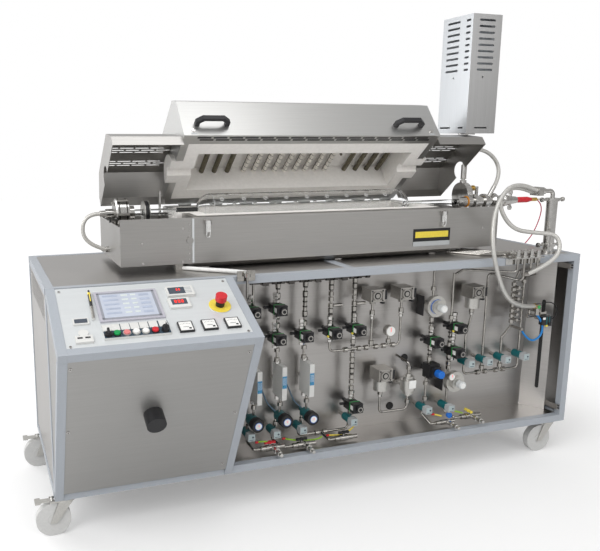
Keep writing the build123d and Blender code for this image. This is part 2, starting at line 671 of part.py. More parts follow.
with BuildPart() as tube_fittings:
    axis_point = (0, tube_axis_y, tube_axis_z)
    along_x = (1, 0, 0)
    fit = neck_radius + running_clearance
    # Left rotary union: inlet stub, drum, flange and a foot on the box floor
    turned([(279, 0), (279, 18), (314, 18), (314, 50), (318, 58), (364, 58), (368, 50), (368, 28), (391, 28),
            (391, fit), (tube_left_end - 2, fit), (tube_left_end - 2, 8), (287, 8), (287, 0)],
           axis_point, along_x)
    block(330, 352, tube_axis_y - 12, tube_axis_y + 12, face_bottom + sheet, tube_axis_z - 50)
    # Nipple of the purge hose, the gland where it enters the box and the supply stub
    rods([(268, tube_axis_y, tube_axis_z)], 12, 22, "X")
    rods([(283, 405, 985)], 12, 14, "X")
    block(504, 532, 186, 214, worktop_height - 0.5, face_bottom)
    # Guard post of the belt
    block(506, 514, tube_axis_y + 40, tube_axis_y + 52, face_bottom + sheet, 1206)
    # Right chain: flange, bearing cylinder, powder drum and reducing cone
    turned([(1915, fit), (1915, 30), (1925, 30), (1925, 22), (1972, 22), (1972, 9), (tube_right_end + 2, 9),
            (tube_right_end + 2, fit)], axis_point, along_x)
    rods([(1942, tube_axis_y, (face_bottom + sheet + tube_axis_z - 20) / 2)], 10,
         tube_axis_z - 20 - face_bottom - sheet, "Z")
    turned(steps([(6, 20), (30, 25), (4, 34), (8, 34), (6, 24), (40, 24), (8, 34), (8, 34), (30, 22)],
                 1971, 9),
           axis_point, along_x)
    turned([(2111, 0), (2111, 26), (2122, 36), (2134, 36), (2140, 24), (2175, 24), (2182, 30), (2190, 30),
            (2230, 20), (2262, 16), (2262, 0)], axis_point, along_x)
    rods([(exhaust_x, exhaust_y, tube_axis_z + 26)], 60, 30, "X")
    # Clamp wings on the cone
    rods([(2228, tube_axis_y, tube_axis_z)], 7, 74, "Z")
    rods([(2228, tube_axis_y, tube_axis_z + 36), (2228, tube_axis_y, tube_axis_z - 36)], 12, 8, "X")
    # Exhaust pipe with its union and the flange that carries the tower
    drum_top = tube_axis_z + 26 + 55
    rods([(exhaust_x, exhaust_y, tower_bottom - 2.75)], 38, 4.5, "Z")
    rods([(exhaust_x, exhaust_y, (drum_top + tower_bottom - 0.5) / 2)], 8, tower_bottom - 0.5 - drum_top, "Z")
    rods([(exhaust_x, exhaust_y, 1215)], 15, 16, "Z")
    rods([(exhaust_x, exhaust_y, 1262)], 13, 66, "Z")
    rods([(exhaust_x, exhaust_y, 1369)], 13, 30, "Z")
    rods([(exhaust_x + 14, exhaust_y, 1369)], 9, 22, "X")
    # Brass relief fitting beside the drum, with its elbow down to the chain
    rods([(2030, exhaust_y, 1185)], 10, 50, "X")
    rods([(2048, exhaust_y, 1185)], 13, 10, "X")
    rods([(2062, exhaust_y, 1185)], 7, 16, "X")
    rods([(2070, exhaust_y, 1164)], 8, 56, "Z")
    rods([(2070, (exhaust_y + tube_axis_y) / 2, 1142)], 8, exhaust_y - tube_axis_y + 10, "Y")
    # Elbow that receives the tower hose
    pipe([(2128, 400, 1192), (2090.4, 388.4, 1146.7)], 10)
    # Sensor in its red connector, with the tip rods
    turned([(2262.5, 0), (2262.5, 11), (sensor_start, 14), (2330, 14), (2352, 9), (2385, 9), (2385, 0)],
           axis_point, along_x)
    rods([(2411, tube_axis_y + 5, tube_axis_z), (2411, tube_axis_y - 5, tube_axis_z)], 2, 52, "X")
    # Support of the chain on the worktop
    block(2046, 2058, tube_axis_y - 14, tube_axis_y + 14, worktop_height - 0.5, tube_axis_z - 20)
    block(2030, 2074, tube_axis_y - 30, tube_axis_y + 30, worktop_height - 0.5, worktop_height + 4)
keep(tube_fittings, "tube_fittings")

tower_top = 1955.0

with BuildPart() as torch_tower:
    block(*tower_x, *tower_y, tower_bottom, tower_top)
    block(tower_x[0] + sheet, tower_x[1] - sheet, tower_y[0] + sheet, tower_y[1] - sheet,
          tower_bottom + sheet, tower_top - sheet, mode=Mode.SUBTRACT)
    middle_x = (tower_x[0] + tower_x[1]) / 2
    middle_y = (tower_y[0] + tower_y[1]) / 2
    rods([(exhaust_x, exhaust_y, tower_bottom)], 9, 3 * sheet, "Z", mode=Mode.SUBTRACT)
    # Nine slots near the top and one near the bottom of the front and left faces
    slots_z = 1824
    slots_pitch = 26.4
    with BuildSketch(Plane.XZ.offset(-tower_y[0] - 3)) as front_slots:
        with Locations((middle_x, slots_z)):
            with GridLocations(10, slots_pitch, 1, 9):
                SlotOverall(84, 9)
        with Locations((middle_x, tower_bottom + 25)):
            SlotOverall(70, 6)
        with Locations((middle_x - 8, 1687)):
            Circle(4)
    extrude(front_slots.sketch, amount=8, mode=Mode.SUBTRACT)
    with BuildSketch(Plane.YZ.offset(tower_x[0] - 1)) as side_slots:
        with Locations((middle_y - 75, slots_z)):
            with GridLocations(10, slots_pitch, 1, 9):
                SlotOverall(30, 9)
        with Locations((middle_y + 27, slots_z)):
            with GridLocations(10, slots_pitch, 1, 9):
                SlotOverall(88, 9)
        with Locations((middle_y - 62, tower_bottom + 25)):
            SlotOverall(34, 7)
        with Locations((middle_y + 50, tower_bottom + 25)):
            SlotOverall(76, 7)
        with Locations((middle_y + 10, 1687)):
            Circle(4)
    extrude(side_slots.sketch, amount=4, mode=Mode.SUBTRACT)
keep(torch_tower, "torch_tower")


# Filter column on the worktop, with the supply manifold at the front edge

column = (2180.0, 85.0)
column_top = worktop_height + 236.0
manifold_x = (1931, 1966, 2001, 2036)
manifold_y = -14.0

with BuildPart() as filter_column:
    rods([(*column, (worktop_height - 0.5 + column_top) / 2)], 23, column_top - worktop_height + 0.5, "Z")
    rods([(*column, worktop_height + 6)], 30, 12, "Z")
    for z in (worktop_height + 34, column_top - 4):
        rods([(*column, z)], 29, 13, "Z")
        rods([(column[0], column[1], z)], 6, 124, "X")
        rods([(column[0] - 56, column[1], z), (column[0] + 56, column[1], z)], 10, 8, "X")
    # Elbow above the column with the two hose nipples
    pipe([(column[0], column[1], column_top), (column[0], column[1], column_top + 34),
          (column[0] - 62, column[1], column_top + 34)], 9, 18)
    rods([(column[0] - 54, column[1], column_top + 34)], 13, 16, "X")
    rods([(column[0] - 68, column[1], column_top + 34)], 11, 12, "X")
    block(column[0] - 100, column[0] - 74, column[1] - 27, column[1] + 27, column_top + 16, column_top + 52)
    # Bracket with four elbow fittings over the front rail
    block(1880, 2060, -3, 0, 898, worktop_height)
    block(1880, 2060, -28, 44, worktop_height, worktop_height + 3)
    rods([(x, manifold_y, worktop_height + 16) for x in manifold_x], 9, 26, "Z")
    rods([(x, manifold_y, worktop_height + 7) for x in manifold_x], 13, 8, "Z")
    rods([(x, manifold_y + 18, worktop_height + 18) for x in manifold_x], 8, 36, "Y")
    rods([(x, manifold_y + 34, worktop_height + 18) for x in manifold_x], 12, 12, "Y")
keep(filter_column, "filter_column")


# Gas panel in the open bay. Its pipes run in one plane, and places are given as
# distance from the frame's left end and height above the frame's underside.

pipe_y = 110.0
pipe_radius = 5.0
nut_radius = 11.0
nut_length = 16.0


def at(x, height):
    """A point on the gas panel's pipe plane."""
    return (x, pipe_y, frame_bottom + height)


valve_places = [(776, 610), (886, 612), (884, 494), (1001, 496), (1127, 497), (1237, 500), (1236, 170),
                (1728, 465), (1615, 413), (1726, 357)]
controller_places = [(800, 296), (905, 304), (1024, 304)]
knurled_places = [(794, 154), (917, 155), (1033, 152)]
diaphragm_places = [(769, 107), (878, 104), (994, 105), (1225, 109), (1589, 112), (1704, 106),
                    (1794, 300), (1890, 299), (1988, 299), (2088, 303)]
transducer_places = [(1319, 637), (1457, 636), (1374, 291), (1815, 615)]
dome_places = [(1622, 563), (1742, 214)]
blue_place = (1624, 277)

with BuildPart() as solenoid_valves:
    with Locations(*[at(x, z) for x, z in valve_places]):
        Box(46, 44, 34)
    with Locations(*[(x + 4, pipe_y - 38, frame_bottom + z - 2) for x, z in valve_places]):
        Box(44, 36, 40)
    rods([(x + 6, pipe_y - 62, frame_bottom + z - 2) for x, z in valve_places], 15, 14, "Y")
    rods([(x, (pipe_y + 22 + bay_depth) / 2, frame_bottom + z) for x, z in valve_places], 8,
         bay_depth - pipe_y - 22, "Y")
    rods([(x - 34, pipe_y + 10, frame_bottom + z + 2) for x, z in valve_places], 6, 24, "X")
keep(solenoid_valves, "solenoid_valves")

with BuildPart() as diaphragm_valves:
    rods([(x, pipe_y, frame_bottom + z) for x, z in diaphragm_places], 17, 52, "Y")
    with Locations(*[(x, pipe_y - 40, frame_bottom + z) for x, z in diaphragm_places]):
        Box(30, 28, 30)
    rods([(x, (pipe_y + 26 + bay_depth) / 2, frame_bottom + z) for x, z in diaphragm_places], 8,
         bay_depth - pipe_y - 26, "Y")
keep(diaphragm_valves, "diaphragm_valves")

gauge_place = (1402, 475)
filter_place = (1511, 224)
small_gauge_place = (1696, 253)

with BuildPart() as gas_sensors:
    # Slim mass-flow controllers
    with Locations(*[(x - 2, pipe_y - 12, frame_bottom + z + 12) for x, z in controller_places]):
        Box(20, 96, 136)
    rods([(x, (pipe_y + 36 + bay_depth) / 2, frame_bottom + z) for x, z in controller_places], 8,
         bay_depth - pipe_y - 36, "Y")
    # Pressure transducer heads, two of them on wide cells
    with Locations(*[(x, pipe_y - 4, frame_bottom + z) for x, z in transducer_places]):
        Box(66, 76, 52)
    with Locations(*[(x + 37, pipe_y - 16, frame_bottom + z - 2) for x, z in transducer_places]):
        Box(8, 30, 44)
    rods([(x, (pipe_y + 34 + bay_depth) / 2, frame_bottom + z) for x, z in transducer_places], 8,
         bay_depth - pipe_y - 34, "Y")
    rods([at(x, z - 50) for x, z in transducer_places[2:]], 30, 48, "Z")
    rods([at(x, z - 34) for x, z in transducer_places[:2]], 13, 16, "Z")
    # Dial gauges facing the front
    gauge_x, gauge_height = gauge_place
    rods([(gauge_x, pipe_y - 6, frame_bottom + gauge_height)], 24, 24, "Y")
    gauge_x, gauge_height = small_gauge_place
    rods([(gauge_x, pipe_y - 44, frame_bottom + gauge_height)], 17, 18, "Y")
    # Upright gas filter on its bracket
    filter_x, filter_height = filter_place
    rods([at(filter_x, filter_height)], 31, 46, "Z")
    rods([at(filter_x, filter_height + 30), at(filter_x, filter_height - 32)], 22, 16, "Z")
    rods([at(filter_x, filter_height + 43), at(filter_x, filter_height - 44)], 12, 12, "Z")
    block(filter_x - 30, filter_x + 30, pipe_y + 20, bay_depth, frame_bottom + filter_height - 5,
          frame_bottom + filter_height + 5)
keep(gas_sensors, "gas_sensors")

knob_gap = 0.3
stem_radius = 5.0
stem_length = 15.0

with BuildPart() as regulator_bodies:
    # Small regulators behind the knurled grips
    rods([(x, pipe_y - 2, frame_bottom + z) for x, z in knurled_places], 24, 44, "Y")
    rods([(x, (pipe_y + 20 + bay_depth) / 2, frame_bottom + z) for x, z in knurled_places], 8,
         bay_depth - pipe_y - 20, "Y")
    # Large round regulators
    rods([(x, pipe_y - 6, frame_bottom + z) for x, z in dome_places], 46, 26, "Y")
    rods([(x, pipe_y - 29, frame_bottom + z) for x, z in dome_places], 30, 20, "Y")
    rods([(x, (pipe_y + 7 + bay_depth) / 2, frame_bottom + z) for x, z in dome_places], 12,
         bay_depth - pipe_y - 7, "Y")
    # Square regulator behind the blue knob
    blue_x, blue_height = blue_place
    blue_z = frame_bottom + blue_height
    block(blue_x - 26, blue_x + 26, pipe_y - 28, pipe_y + 24, blue_z - 32, blue_z + 32)
    block(blue_x - 20, blue_x + 20, pipe_y - 44, pipe_y - 28, blue_z - 24, blue_z + 24)
    block(blue_x - 10, blue_x + 10, pipe_y + 24, bay_depth, blue_z - 10, blue_z + 10)
    # Side port of the lower round regulator, with the stem of its small gauge
    port_x, port_height = small_gauge_place
    rods([(port_x + 14, pipe_y - 6, frame_bottom + port_height)], 6, 32, "X")
    rods([(port_x, pipe_y - 21, frame_bottom + port_height)], stem_radius, 28, "Y")
    # Stems that carry the turning knobs
    for places, face in ((knurled_places, pipe_y - 24), (dome_places, pipe_y - 39),
                         ([blue_place], pipe_y - 44)):
        rods([(x, face - stem_length / 2, frame_bottom + z) for x, z in places],
             stem_radius, stem_length, "Y")
keep(regulator_bodies, "regulator_bodies")


def knob(name, x, z, back, front, radius, ribs):
    """A turning knob on its stem, with grip ribs around it."""
    with BuildPart() as grip:
        turned([(0, 0), (0, radius - 3), (3, radius), (back - front - 4, radius), (back - front, radius - 4),
                (back - front, 0)], (x, front, frame_bottom + z), (0, 1, 0))
        rods([(x, back - stem_length / 2, frame_bottom + z)], stem_radius + running_clearance,
             stem_length + 1, "Y", mode=Mode.SUBTRACT)
        ribs_plane = Plane(origin=(x, front, frame_bottom + z), x_dir=(1, 0, 0), z_dir=(0, -1, 0))
        with BuildSketch(ribs_plane) as ribs_face:
            with PolarLocations(radius, ribs):
                Circle(1.2)
        extrude(ribs_face.sketch, amount=-(back - front - 8), mode=Mode.SUBTRACT)
    keep(grip, name)


knurled_names = ("left_regulator_knob", "middle_regulator_knob", "right_regulator_knob")
for name, (x, z) in zip(knurled_names, knurled_places):
    knob(name, x, z, pipe_y - 24 - knob_gap, 48.0, 27.0, 30)
for name, (x, z) in zip(("upper_dome_knob", "lower_dome_knob"), dome_places):
    knob(name, x, z, pipe_y - 39 - knob_gap, 38.0, 17.0, 20)
knob("blue_knob", blue_x, blue_height, pipe_y - 44 - knob_gap, 30.0, 17.0, 20)


# Stainless pipes, unions and ball valves of the gas panel

ball_places = [(848, 52), (987, 46), (1178, 48), (1796, 62)]
ball_y = 60.0
coupling_place = (1672, 50)
top_rail = 717
manifold_low = worktop_height - frame_bottom


def route(points, bend):
    """A pipe through (x, height) or (x, y, height) points of the gas panel."""
    places = []
    for point in points:
        x, y, height = point if len(point) == 3 else (point[0], pipe_y, point[1])
        places.append((x, y, frame_bottom + height))
    pipe(places, pipe_radius, bend)


with BuildPart() as gas_lines:
    # Header along the top, with a stand-off block beside each branch
    rods([((776 + 1300) / 2, pipe_y, frame_bottom + top_rail)], 7, 1300 - 776, "X")
    with Locations(*[(x, (pipe_y - 12 + bay_depth) / 2, frame_bottom + top_rail)
                     for x in (838, 948, 1064, 1182)]):
        Box(24, bay_depth - pipe_y + 12, 26)
    # Straight columns
    columns = [(790, 376, 717), (894, 384, 717), (1012, 384, 717), (1127, 497, 717), (1234, 109, 717),
               (797, 170, 240), (911, 170, 248), (1029, 170, 248), (776, 107, 145), (893, 104, 150),
               (1010, 105, 150), (1319, 410, 612), (1402, 410, 455), (1612, 250, 700), (1601, 112, 250),
               (1712, 106, 700), (1890, 240, 300), (1988, 240, 300)]
    for x, low, high in columns:
        rods([at(x, (low + high) / 2)], pipe_radius, high - low, "Z")
    rods([at(1012, 620)], 8, 100, "Z")
    # Bent pipes
    bend = 18.0
    route([(1127, 497), (1127, 410), (1457, 410), (1457, 612)], bend)
    route([(1374, 220), (1374, 114), (1511, 114), (1511, 178)], bend)
    route([(1511, 264), (1511, 320), (1488, bay_depth, 340)], 14)
    route([(1612, 690), (1612, 728), (1680, 728)], bend)
    route([(1931, manifold_y, manifold_low), (1931, manifold_y, 712),
           (1757, pipe_y, 712), (1712, pipe_y, 690)], 14)
    route([(1966, manifold_y, manifold_low), (1966, manifold_y, 672),
           (1890, pipe_y, 690), (1890, pipe_y, 300)], bend)
    route([(2001, manifold_y, manifold_low), (2001, manifold_y, 725), (2034, 80, 700),
           (2034, pipe_y, 640), (2034, pipe_y, 440),
           (1988, pipe_y, 390), (1988, pipe_y, 300)], 14)
    route([(2036, manifold_y, manifold_low), (2036, manifold_y, 700),
           (2088, pipe_y, 660), (2088, pipe_y, 300)], bend)
    route([(1794, 300), (1794, 420), (1815, 500), (1815, 545)], 24)
    route([(1794, 300), (1794, 240), (2088, 240), (2088, 300)], bend)
    route([(994, 105), (994, 64), (1225, 64), (1225, 105)], bend)
    route([(715, -18, 790), (715, -18, 690), (776, pipe_y, 672), (776, pipe_y, 610)], bend)
    # Tubes lying on the worktop, from the manifold to the underside of the furnace
    for number, x in enumerate(manifold_x):
        low = worktop_height - frame_bottom - 0.2 + pipe_radius
        route([(x, manifold_y + 40, low + 15), (x, 60 + 10 * number, low), (x - 100, 100 + 14 * number, low),
               (x - 190, 215 + 12 * number, low)], 16)
    # Feeds from the ball valves to the lower row
    route([(769, 107), (769, pipe_y, 70), (780, ball_y, 52), (810, ball_y, 52)], 10)
    route([(878, 104), (878, pipe_y, 66), (905, ball_y, 46), (950, ball_y, 46)], 10)
    route([(1100, pipe_y, 64), (1112, ball_y, 48), (1140, ball_y, 48)], 8)
    route([(1704, 106), (1704, pipe_y, 80), (1725, ball_y, 62), (1760, ball_y, 62)], 10)
    route([(1589, 112), (1589, pipe_y, 80), (1602, ball_y, 50), (1632, ball_y, 50)], 10)
    # Union nuts
    nuts = [at(x, z) for x in (894, 1012) for z in (700, 660, 580, 540, 440, 400)]
    nuts += [at(x, z) for x in (1127, 1234) for z in (700, 678, 652, 630, 604, 582, 556, 534)]
    nuts += [at(1234, z) for z in (445, 388, 366, 340, 318, 292, 270, 244, 222, 140)]
    nuts += [at(x, z) for x in (1612, 1712) for z in (505, 385, 330)]
    nuts += [at(1612, 640), at(1612, 468), at(1712, 300), at(1712, 280), at(1601, 220), at(1601, 150)]
    nuts += [at(2034, z) for z in (630, 606, 582, 558, 534, 510, 486, 462)]
    nuts += [at(x, z) for x, z in ((1319, 560), (1457, 560), (1319, 430), (1402, 430),
                                   (1374, 205), (1511, 150), (1511, 300), (1890, 262), (1988, 262),
                                   (797, 212), (911, 212), (1029, 212),
                                   (776, 132), (893, 132), (1010, 132), (1815, 530), (2088, 640), (790, 400))]
    with Locations(*nuts):
        Cylinder(nut_radius, nut_length)
    cross_nuts = [at(x, 410) for x in (1200, 1262, 1296, 1342, 1380, 1424)]
    cross_nuts += [at(x, 240) for x in (1870, 1910, 1968, 2008)]
    cross_nuts += [at(x, 64) for x in (1080, 1116)]
    cross_nuts += [at(x, top_rail) for x in (876, 912, 994, 1030, 1109, 1145, 1216, 1252, 1290)]
    rods(cross_nuts, nut_radius, nut_length, "X")
    side_knobs = [(1152, pipe_y - 8, frame_bottom + 604), (1259, pipe_y - 8, frame_bottom + 604)]
    rods(side_knobs, 7, 40, "X")
    # Side ports on the fitting chain
    rods([(2034, pipe_y - 18, frame_bottom + z) for z in (620, 594, 570, 546, 522, 498, 474)], 7, 34, "Y")
    rods([(2056, pipe_y, frame_bottom + z) for z in (606, 558, 510, 462)], 7, 40, "X")
    # Ball valves with couplings towards the front
    for x, z in ball_places:
        rods([(x, ball_y, frame_bottom + z)], 13, 34, "X")
        rods([(x - 28, ball_y, frame_bottom + z), (x + 28, ball_y, frame_bottom + z)], 11, 22, "X")
        rods([(x + 50, ball_y, frame_bottom + z)], 9, 24, "X")
        rods([(x, ball_y, frame_bottom + z + 14)], 5, 10, "Z")
    x, z = coupling_place
    rods([(x - 30, ball_y, frame_bottom + z)], 9, 26, "X")
    rods([(x, ball_y, frame_bottom + z)], 11, 34, "X")
    rods([(x + 34, ball_y, frame_bottom + z)], 7, 36, "X")
    # Wide elbow bracket where the supply comes over the front rail
    block(680, 750, -8, -4, frame_bottom + 752, frame_bottom + 790)
    block(690, 740, -4, 0, frame_bottom + 758, frame_bottom + 766)
    rods([(715, -18, frame_bottom + 776)], 12, 14, "Z")
    block(706, 724, -18, -8, frame_bottom + 770, frame_bottom + 782)
    # End fittings of the hoses in the bay
    rods([(2108, 40, frame_bottom + 520)], 10, 40, "Z")
    rods([(2106, 40, frame_bottom + 541)], 12, 28, "X")
    rods([(1976, manifold_y, frame_bottom + 701)], 10, 24, "X")
    rods([(2108, (40 + bay_depth) / 2, frame_bottom + 520)], 9, bay_depth - 40, "Y")
    rods([(2034, 75, frame_bottom + 440)], 6, 70, "Y")
    block(2140, 2176, 52, 88, frame_bottom + 470, frame_bottom + 506)
    rods([(2118, 75, frame_bottom + 488)], 8, 60, "X")
    rods([(2108, 84, frame_bottom + 504)], 8, 48, "Z")
keep(gas_lines, "gas_lines")


def ball_lever(name, x, z, turn):
    """A T-shaped lever on the stem of a ball valve."""
    foot_z = frame_bottom + z + 19.3
    with BuildPart() as lever:
        with Locations(Location((x, ball_y, foot_z + 5), (0, 0, turn))):
            Cylinder(7, 10)
            Box(44, 9, 8)
            with Locations((18, 0, 0), (-18, 0, 0)):
                Cylinder(7, 8)
    keep(lever, name)


for name, (x, z), turn in zip(("red_valve_lever", "left_black_valve_lever", "right_black_valve_lever",
                               "yellow_valve_lever"), ball_places, (0, 0, 0, 90)):
    ball_lever(name, x, z, turn)


# Console instruments

with BuildPart() as touch_panel:
    console_block(150.8, 364.8, 43.7, 201.7, panel_top, 5)
    console_block(164, 351, 56, 189, 3.5, 6, mode=Mode.SUBTRACT)
    console_block(166, 349, 58, 187, 3.5, 4.5)
keep(touch_panel, "touch_panel")

button_down = 272.0
button_x = (164, 191, 222, 252, 282, 313, 346)
bar_top = 8.0
stop_place = (565, 162)
sounder = (320, 305)

with BuildPart() as instruments:
    console_block(398, 494, 48, 100, panel_top, 12)
    console_block(391, 466, 109, 161, panel_top, 8)
    for x in (394, 474.6, 555.2):
        console_block(x, x + 48, 235, 283, panel_top, 6)
    console_block(65, 116, 174, 204, panel_top, 5)
    console_disc(90, 247, 16, panel_top, 5)
    console_block(61, 116, 262, 294, panel_top, 7)
    # Row of label holders and push-button collars
    console_block(150, 363, 223, 287, panel_top, bar_top)
    for x in button_x:
        console_disc(x, button_down, 13, bar_top, 12)
    for x in (button_x[1], button_x[3], button_x[5]):
        console_disc(x, button_down, 10.8, bar_top, 13, mode=Mode.SUBTRACT)
        console_disc(x, button_down, 5 + running_clearance, 0, bar_top + 1, mode=Mode.SUBTRACT)
    for x in (button_x[0], button_x[6]):
        console_disc(x, button_down, 5 + running_clearance, 0, 13, mode=Mode.SUBTRACT)
    for x in (button_x[2], button_x[4]):
        console_disc(x, button_down, 10, 12, 15)
    # Yellow disc and collar of the emergency stop
    console_disc(*stop_place, 39, panel_top, 2)
    console_disc(*stop_place, 15, 2, 20)
    console_disc(*stop_place, 8 + running_clearance, panel_top, 21, mode=Mode.SUBTRACT)
    # Pen lying on the panel
    with BuildSketch(Plane(origin=on_console(138, 35, panel_top + 5).origin,
                           z_dir=on_console(132, 184, 5).origin - on_console(138, 35, 5).origin)) as pen:
        Circle(5)
    extrude(pen.sketch, amount=150)
    # Round sounder on the leaning front
    horn_foot = lower_plane.offset(panel_top).from_local_coords((sounder[0], -sounder[1], 0))
    with BuildSketch(Plane(origin=horn_foot, x_dir=(1, 0, 0), z_dir=lower_normal)) as horn:
        Circle(34)
    extrude(horn.sketch, amount=54)
keep(instruments, "instruments")


def plunger(name, x, down, cap_radius, cap_low, cap_high, stem, stem_low):
    """A push button: a round cap on a stem in its collar."""
    with BuildPart() as button:
        console_disc(x, down, stem, stem_low, cap_low)
        console_disc(x, down, cap_radius, cap_low, cap_high)
        fillet(button.edges().group_by(SortBy.LENGTH)[-1].sort_by(Axis.Z)[-1:], 1.2)
    keep(button, name)


for name, x in (("green_button", button_x[1]), ("white_button", button_x[3]), ("red_button", button_x[5])):
    plunger(name, x, button_down, 10.5, 11.5, 18, 5, 4)
plunger("emergency_stop", *stop_place, 20, 25, 46, 8, 6)

with BuildPart() as selector_lever:
    console_disc(button_x[0], button_down, 5, 4, 12.3)
    console_disc(button_x[0], button_down, 11, 12.3, 16)
    console_block(button_x[0] - 3.5, button_x[0] + 3.5, button_down - 15, button_down + 10, 16, 26)
keep(selector_lever, "selector_lever")

with BuildPart() as key_switch:
    console_disc(button_x[6], button_down, 5, 4, 12.3)
    console_disc(button_x[6], button_down, 11.5, 12.3, 24)
    console_block(button_x[6] - 1, button_x[6] + 1, button_down - 5, button_down + 9, 24, 38)
keep(key_switch, "key_switch")


# Toggle latch levers, each on the pin of its base

def latch(name, x):
    """A latch lever hanging from its pin."""
    with BuildPart() as lever:
        block(x - 9, x + 9, furnace_front - 13, furnace_front - 5, latch_z - 38, latch_z + 5)
        rods([(x, furnace_front - 9, latch_z)], 2.5 + running_clearance, 30, "X", mode=Mode.SUBTRACT)
    keep(lever, name)


for name, x in zip(("left_latch_lever", "right_latch_lever"), latch_x):
    latch(name, x)


# Casters: fork, wheel and, on the left pair, a brake pedal

def caster(corner, x, y, braked):
    """One swivel caster with its wheel trailing to the left."""
    wheel_x = x - caster_trail
    top = frame_bottom - 16
    with BuildPart() as fork:
        rods([(x, y, top - 4.3)], 33, 8, "Z")
        for side in (-1, 1):
            face = y + side * (wheel_width / 2 + 2)
            with BuildSketch(Plane.XZ.offset(-face if side < 0 else -face - 4)) as leg:
                with BuildLine():
                    Polyline((x - 26, top - 4), (x + 26, top - 4), (wheel_x + 13, wheel_radius - 12),
                             (wheel_x - 13, wheel_radius - 12), close=True)
                make_face()
            extrude(leg.sketch, amount=4)
        rods([(wheel_x, y, wheel_radius)], axle_radius, wheel_width + 12, "Y")
        rods([(x, y, top - 4.3)], king_pin_radius + running_clearance, 20, "Z", mode=Mode.SUBTRACT)
        if braked:
            # Ears above the wheel that carry the pedal's pin
            for side in (-1, 1):
                middle_leg = y + side * (wheel_width / 2 + 4)
                block(x - 60, x - 20, middle_leg - 2, middle_leg + 2, pedal_z - 4, pedal_z + 4)
            rods([(x - pedal_back, y, pedal_z)], pedal_pin, wheel_width + 12, "Y")
    keep(fork, corner + "_caster_fork")
    with BuildPart() as wheel:
        rods([(wheel_x, y, wheel_radius)], wheel_radius, wheel_width - 2, "Y")
        rods([(wheel_x, y, wheel_radius)], 20, wheel_width + 2, "Y")
        rods([(wheel_x, y, wheel_radius)], axle_radius + running_clearance, wheel_width + 10, "Y",
             mode=Mode.SUBTRACT)
    keep(wheel, corner + "_caster_wheel")
    if braked:
        with BuildPart() as pedal:
            rods([(x - pedal_back, y, pedal_z)], pedal_pin + 3, wheel_width - 2, "Y")
            block(x - 112, x - pedal_back, y - 13, y + 13, pedal_z - 1, pedal_z + 3)
            block(x - 112, x - 92, y - 22, y + 22, pedal_z - 1, pedal_z + 4)
            rods([(x - pedal_back, y, pedal_z)], pedal_pin + running_clearance, wheel_width + 2, "Y",
                 mode=Mode.SUBTRACT)
        keep(pedal, corner + "_brake_pedal")


corners = ("front_left", "back_left", "front_right", "back_right")
for corner, (x, y) in zip(corners, caster_places):
    caster(corner, x, y, x < frame_length / 2)


# Hoses. Each runs along straight lines joined by tangent arcs.

def hose(name, points, radius):
    """A round hose through route points; prints its bend radii and length."""
    places = [Vector(x, y, frame_bottom + height) for x, y, height in points]
    radii = []
    for before, corner, after in zip(places, places[1:], places[2:]):
        turn = math.radians((corner - before).get_angle(after - corner))
        shorter = min((corner - before).length, (after - corner).length)
        radii.append(0.45 * shorter / math.tan(turn / 2))
    with BuildPart() as tube:
        with BuildLine() as path:
            FilletPolyline(*places, radius=radii)
        with BuildSketch(Plane(origin=places[0], z_dir=places[1] - places[0])) as section:
            Circle(radius)
        sweep(section.sketch, path=path.line)
    keep(tube, name)
    length = sum(edge.length for edge in path.line.edges())
    expected = math.pi * radius ** 2 * length
    print(name, "radii", [round(value) for value in radii], "length", round(length),
          "volume ratio", round(tube.part.volume / expected, 4))


hose_radius = 9.0
hose("hose_a", [(2080, 72, 1043), (1965, 72, 1092), (1830, 28, 1000), (1768, -40, 830), (1850, -38, 620),
                (1985, 5, 552), (2092, 40, 541)], hose_radius)
hose("hose_b", [(2080, 98, 1034), (1970, 88, 1075), (1862, 60, 1005), (1935, 45, 885), (2060, 30, 867),
                (2142, 2, 862), (2150, -20, 795), (2085, -30, 742), (1988, -16, 701)], hose_radius)
hose("tower_hose", [(2025, 450, 1214), (2112, 440, 1214), (2186, 418, 1107), (2128, 400, 1037)], hose_radius)
hose("purge_hose", [(257, 400, 972), (190, 400, 972), (188, 402, 855), (278, 405, 830)], 8.0)
hose("supply_hose", [(532, 189, 778), (600, 128, 778), (690, 62, 779), (715, -8, 784)], 7.5)
hose("blue_hose", [(2108, 40, 501), (2150, 41, 462), (2150, 46, 395), (2085, 46, 374), (2038, 42, 430)], 4.5)
hose("sensor_cable", [(2385, 400, 972), (2425, 400, 950), (2418, 400, 872), (2360, 400, 762),
                      (2277, 400, 712)], 2.5)

# Move the origin below the middle of the whole object, then write the files
cord_names = ("hose_a", "hose_b", "tower_hose", "purge_hose", "supply_hose", "blue_hose", "sensor_cable")
boxes = [piece.bounding_box() for label, piece in finished.items() if label not in cord_names]
low = Vector(min(box.min.X for box in boxes), min(box.min.Y for box in boxes),
             min(box.min.Z for box in boxes))
high = Vector(max(box.max.X for box in boxes), max(box.max.Y for box in boxes),
              max(box.max.Z for box in boxes))
shift = Vector(-(low.X + high.X) / 2, -(low.Y + high.Y) / 2, -low.Z)
print("shift", shift.X, shift.Y, shift.Z)
print("size", high.X - low.X, high.Y - low.Y, high.Z - low.Z)

for label, piece in finished.items():
    moved = Pos(shift) * piece
    moved.label = label
    export_step(moved, "parts/" + label + ".step")
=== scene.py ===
import math

import bmesh
import bpy
from mathutils import Matrix, Vector


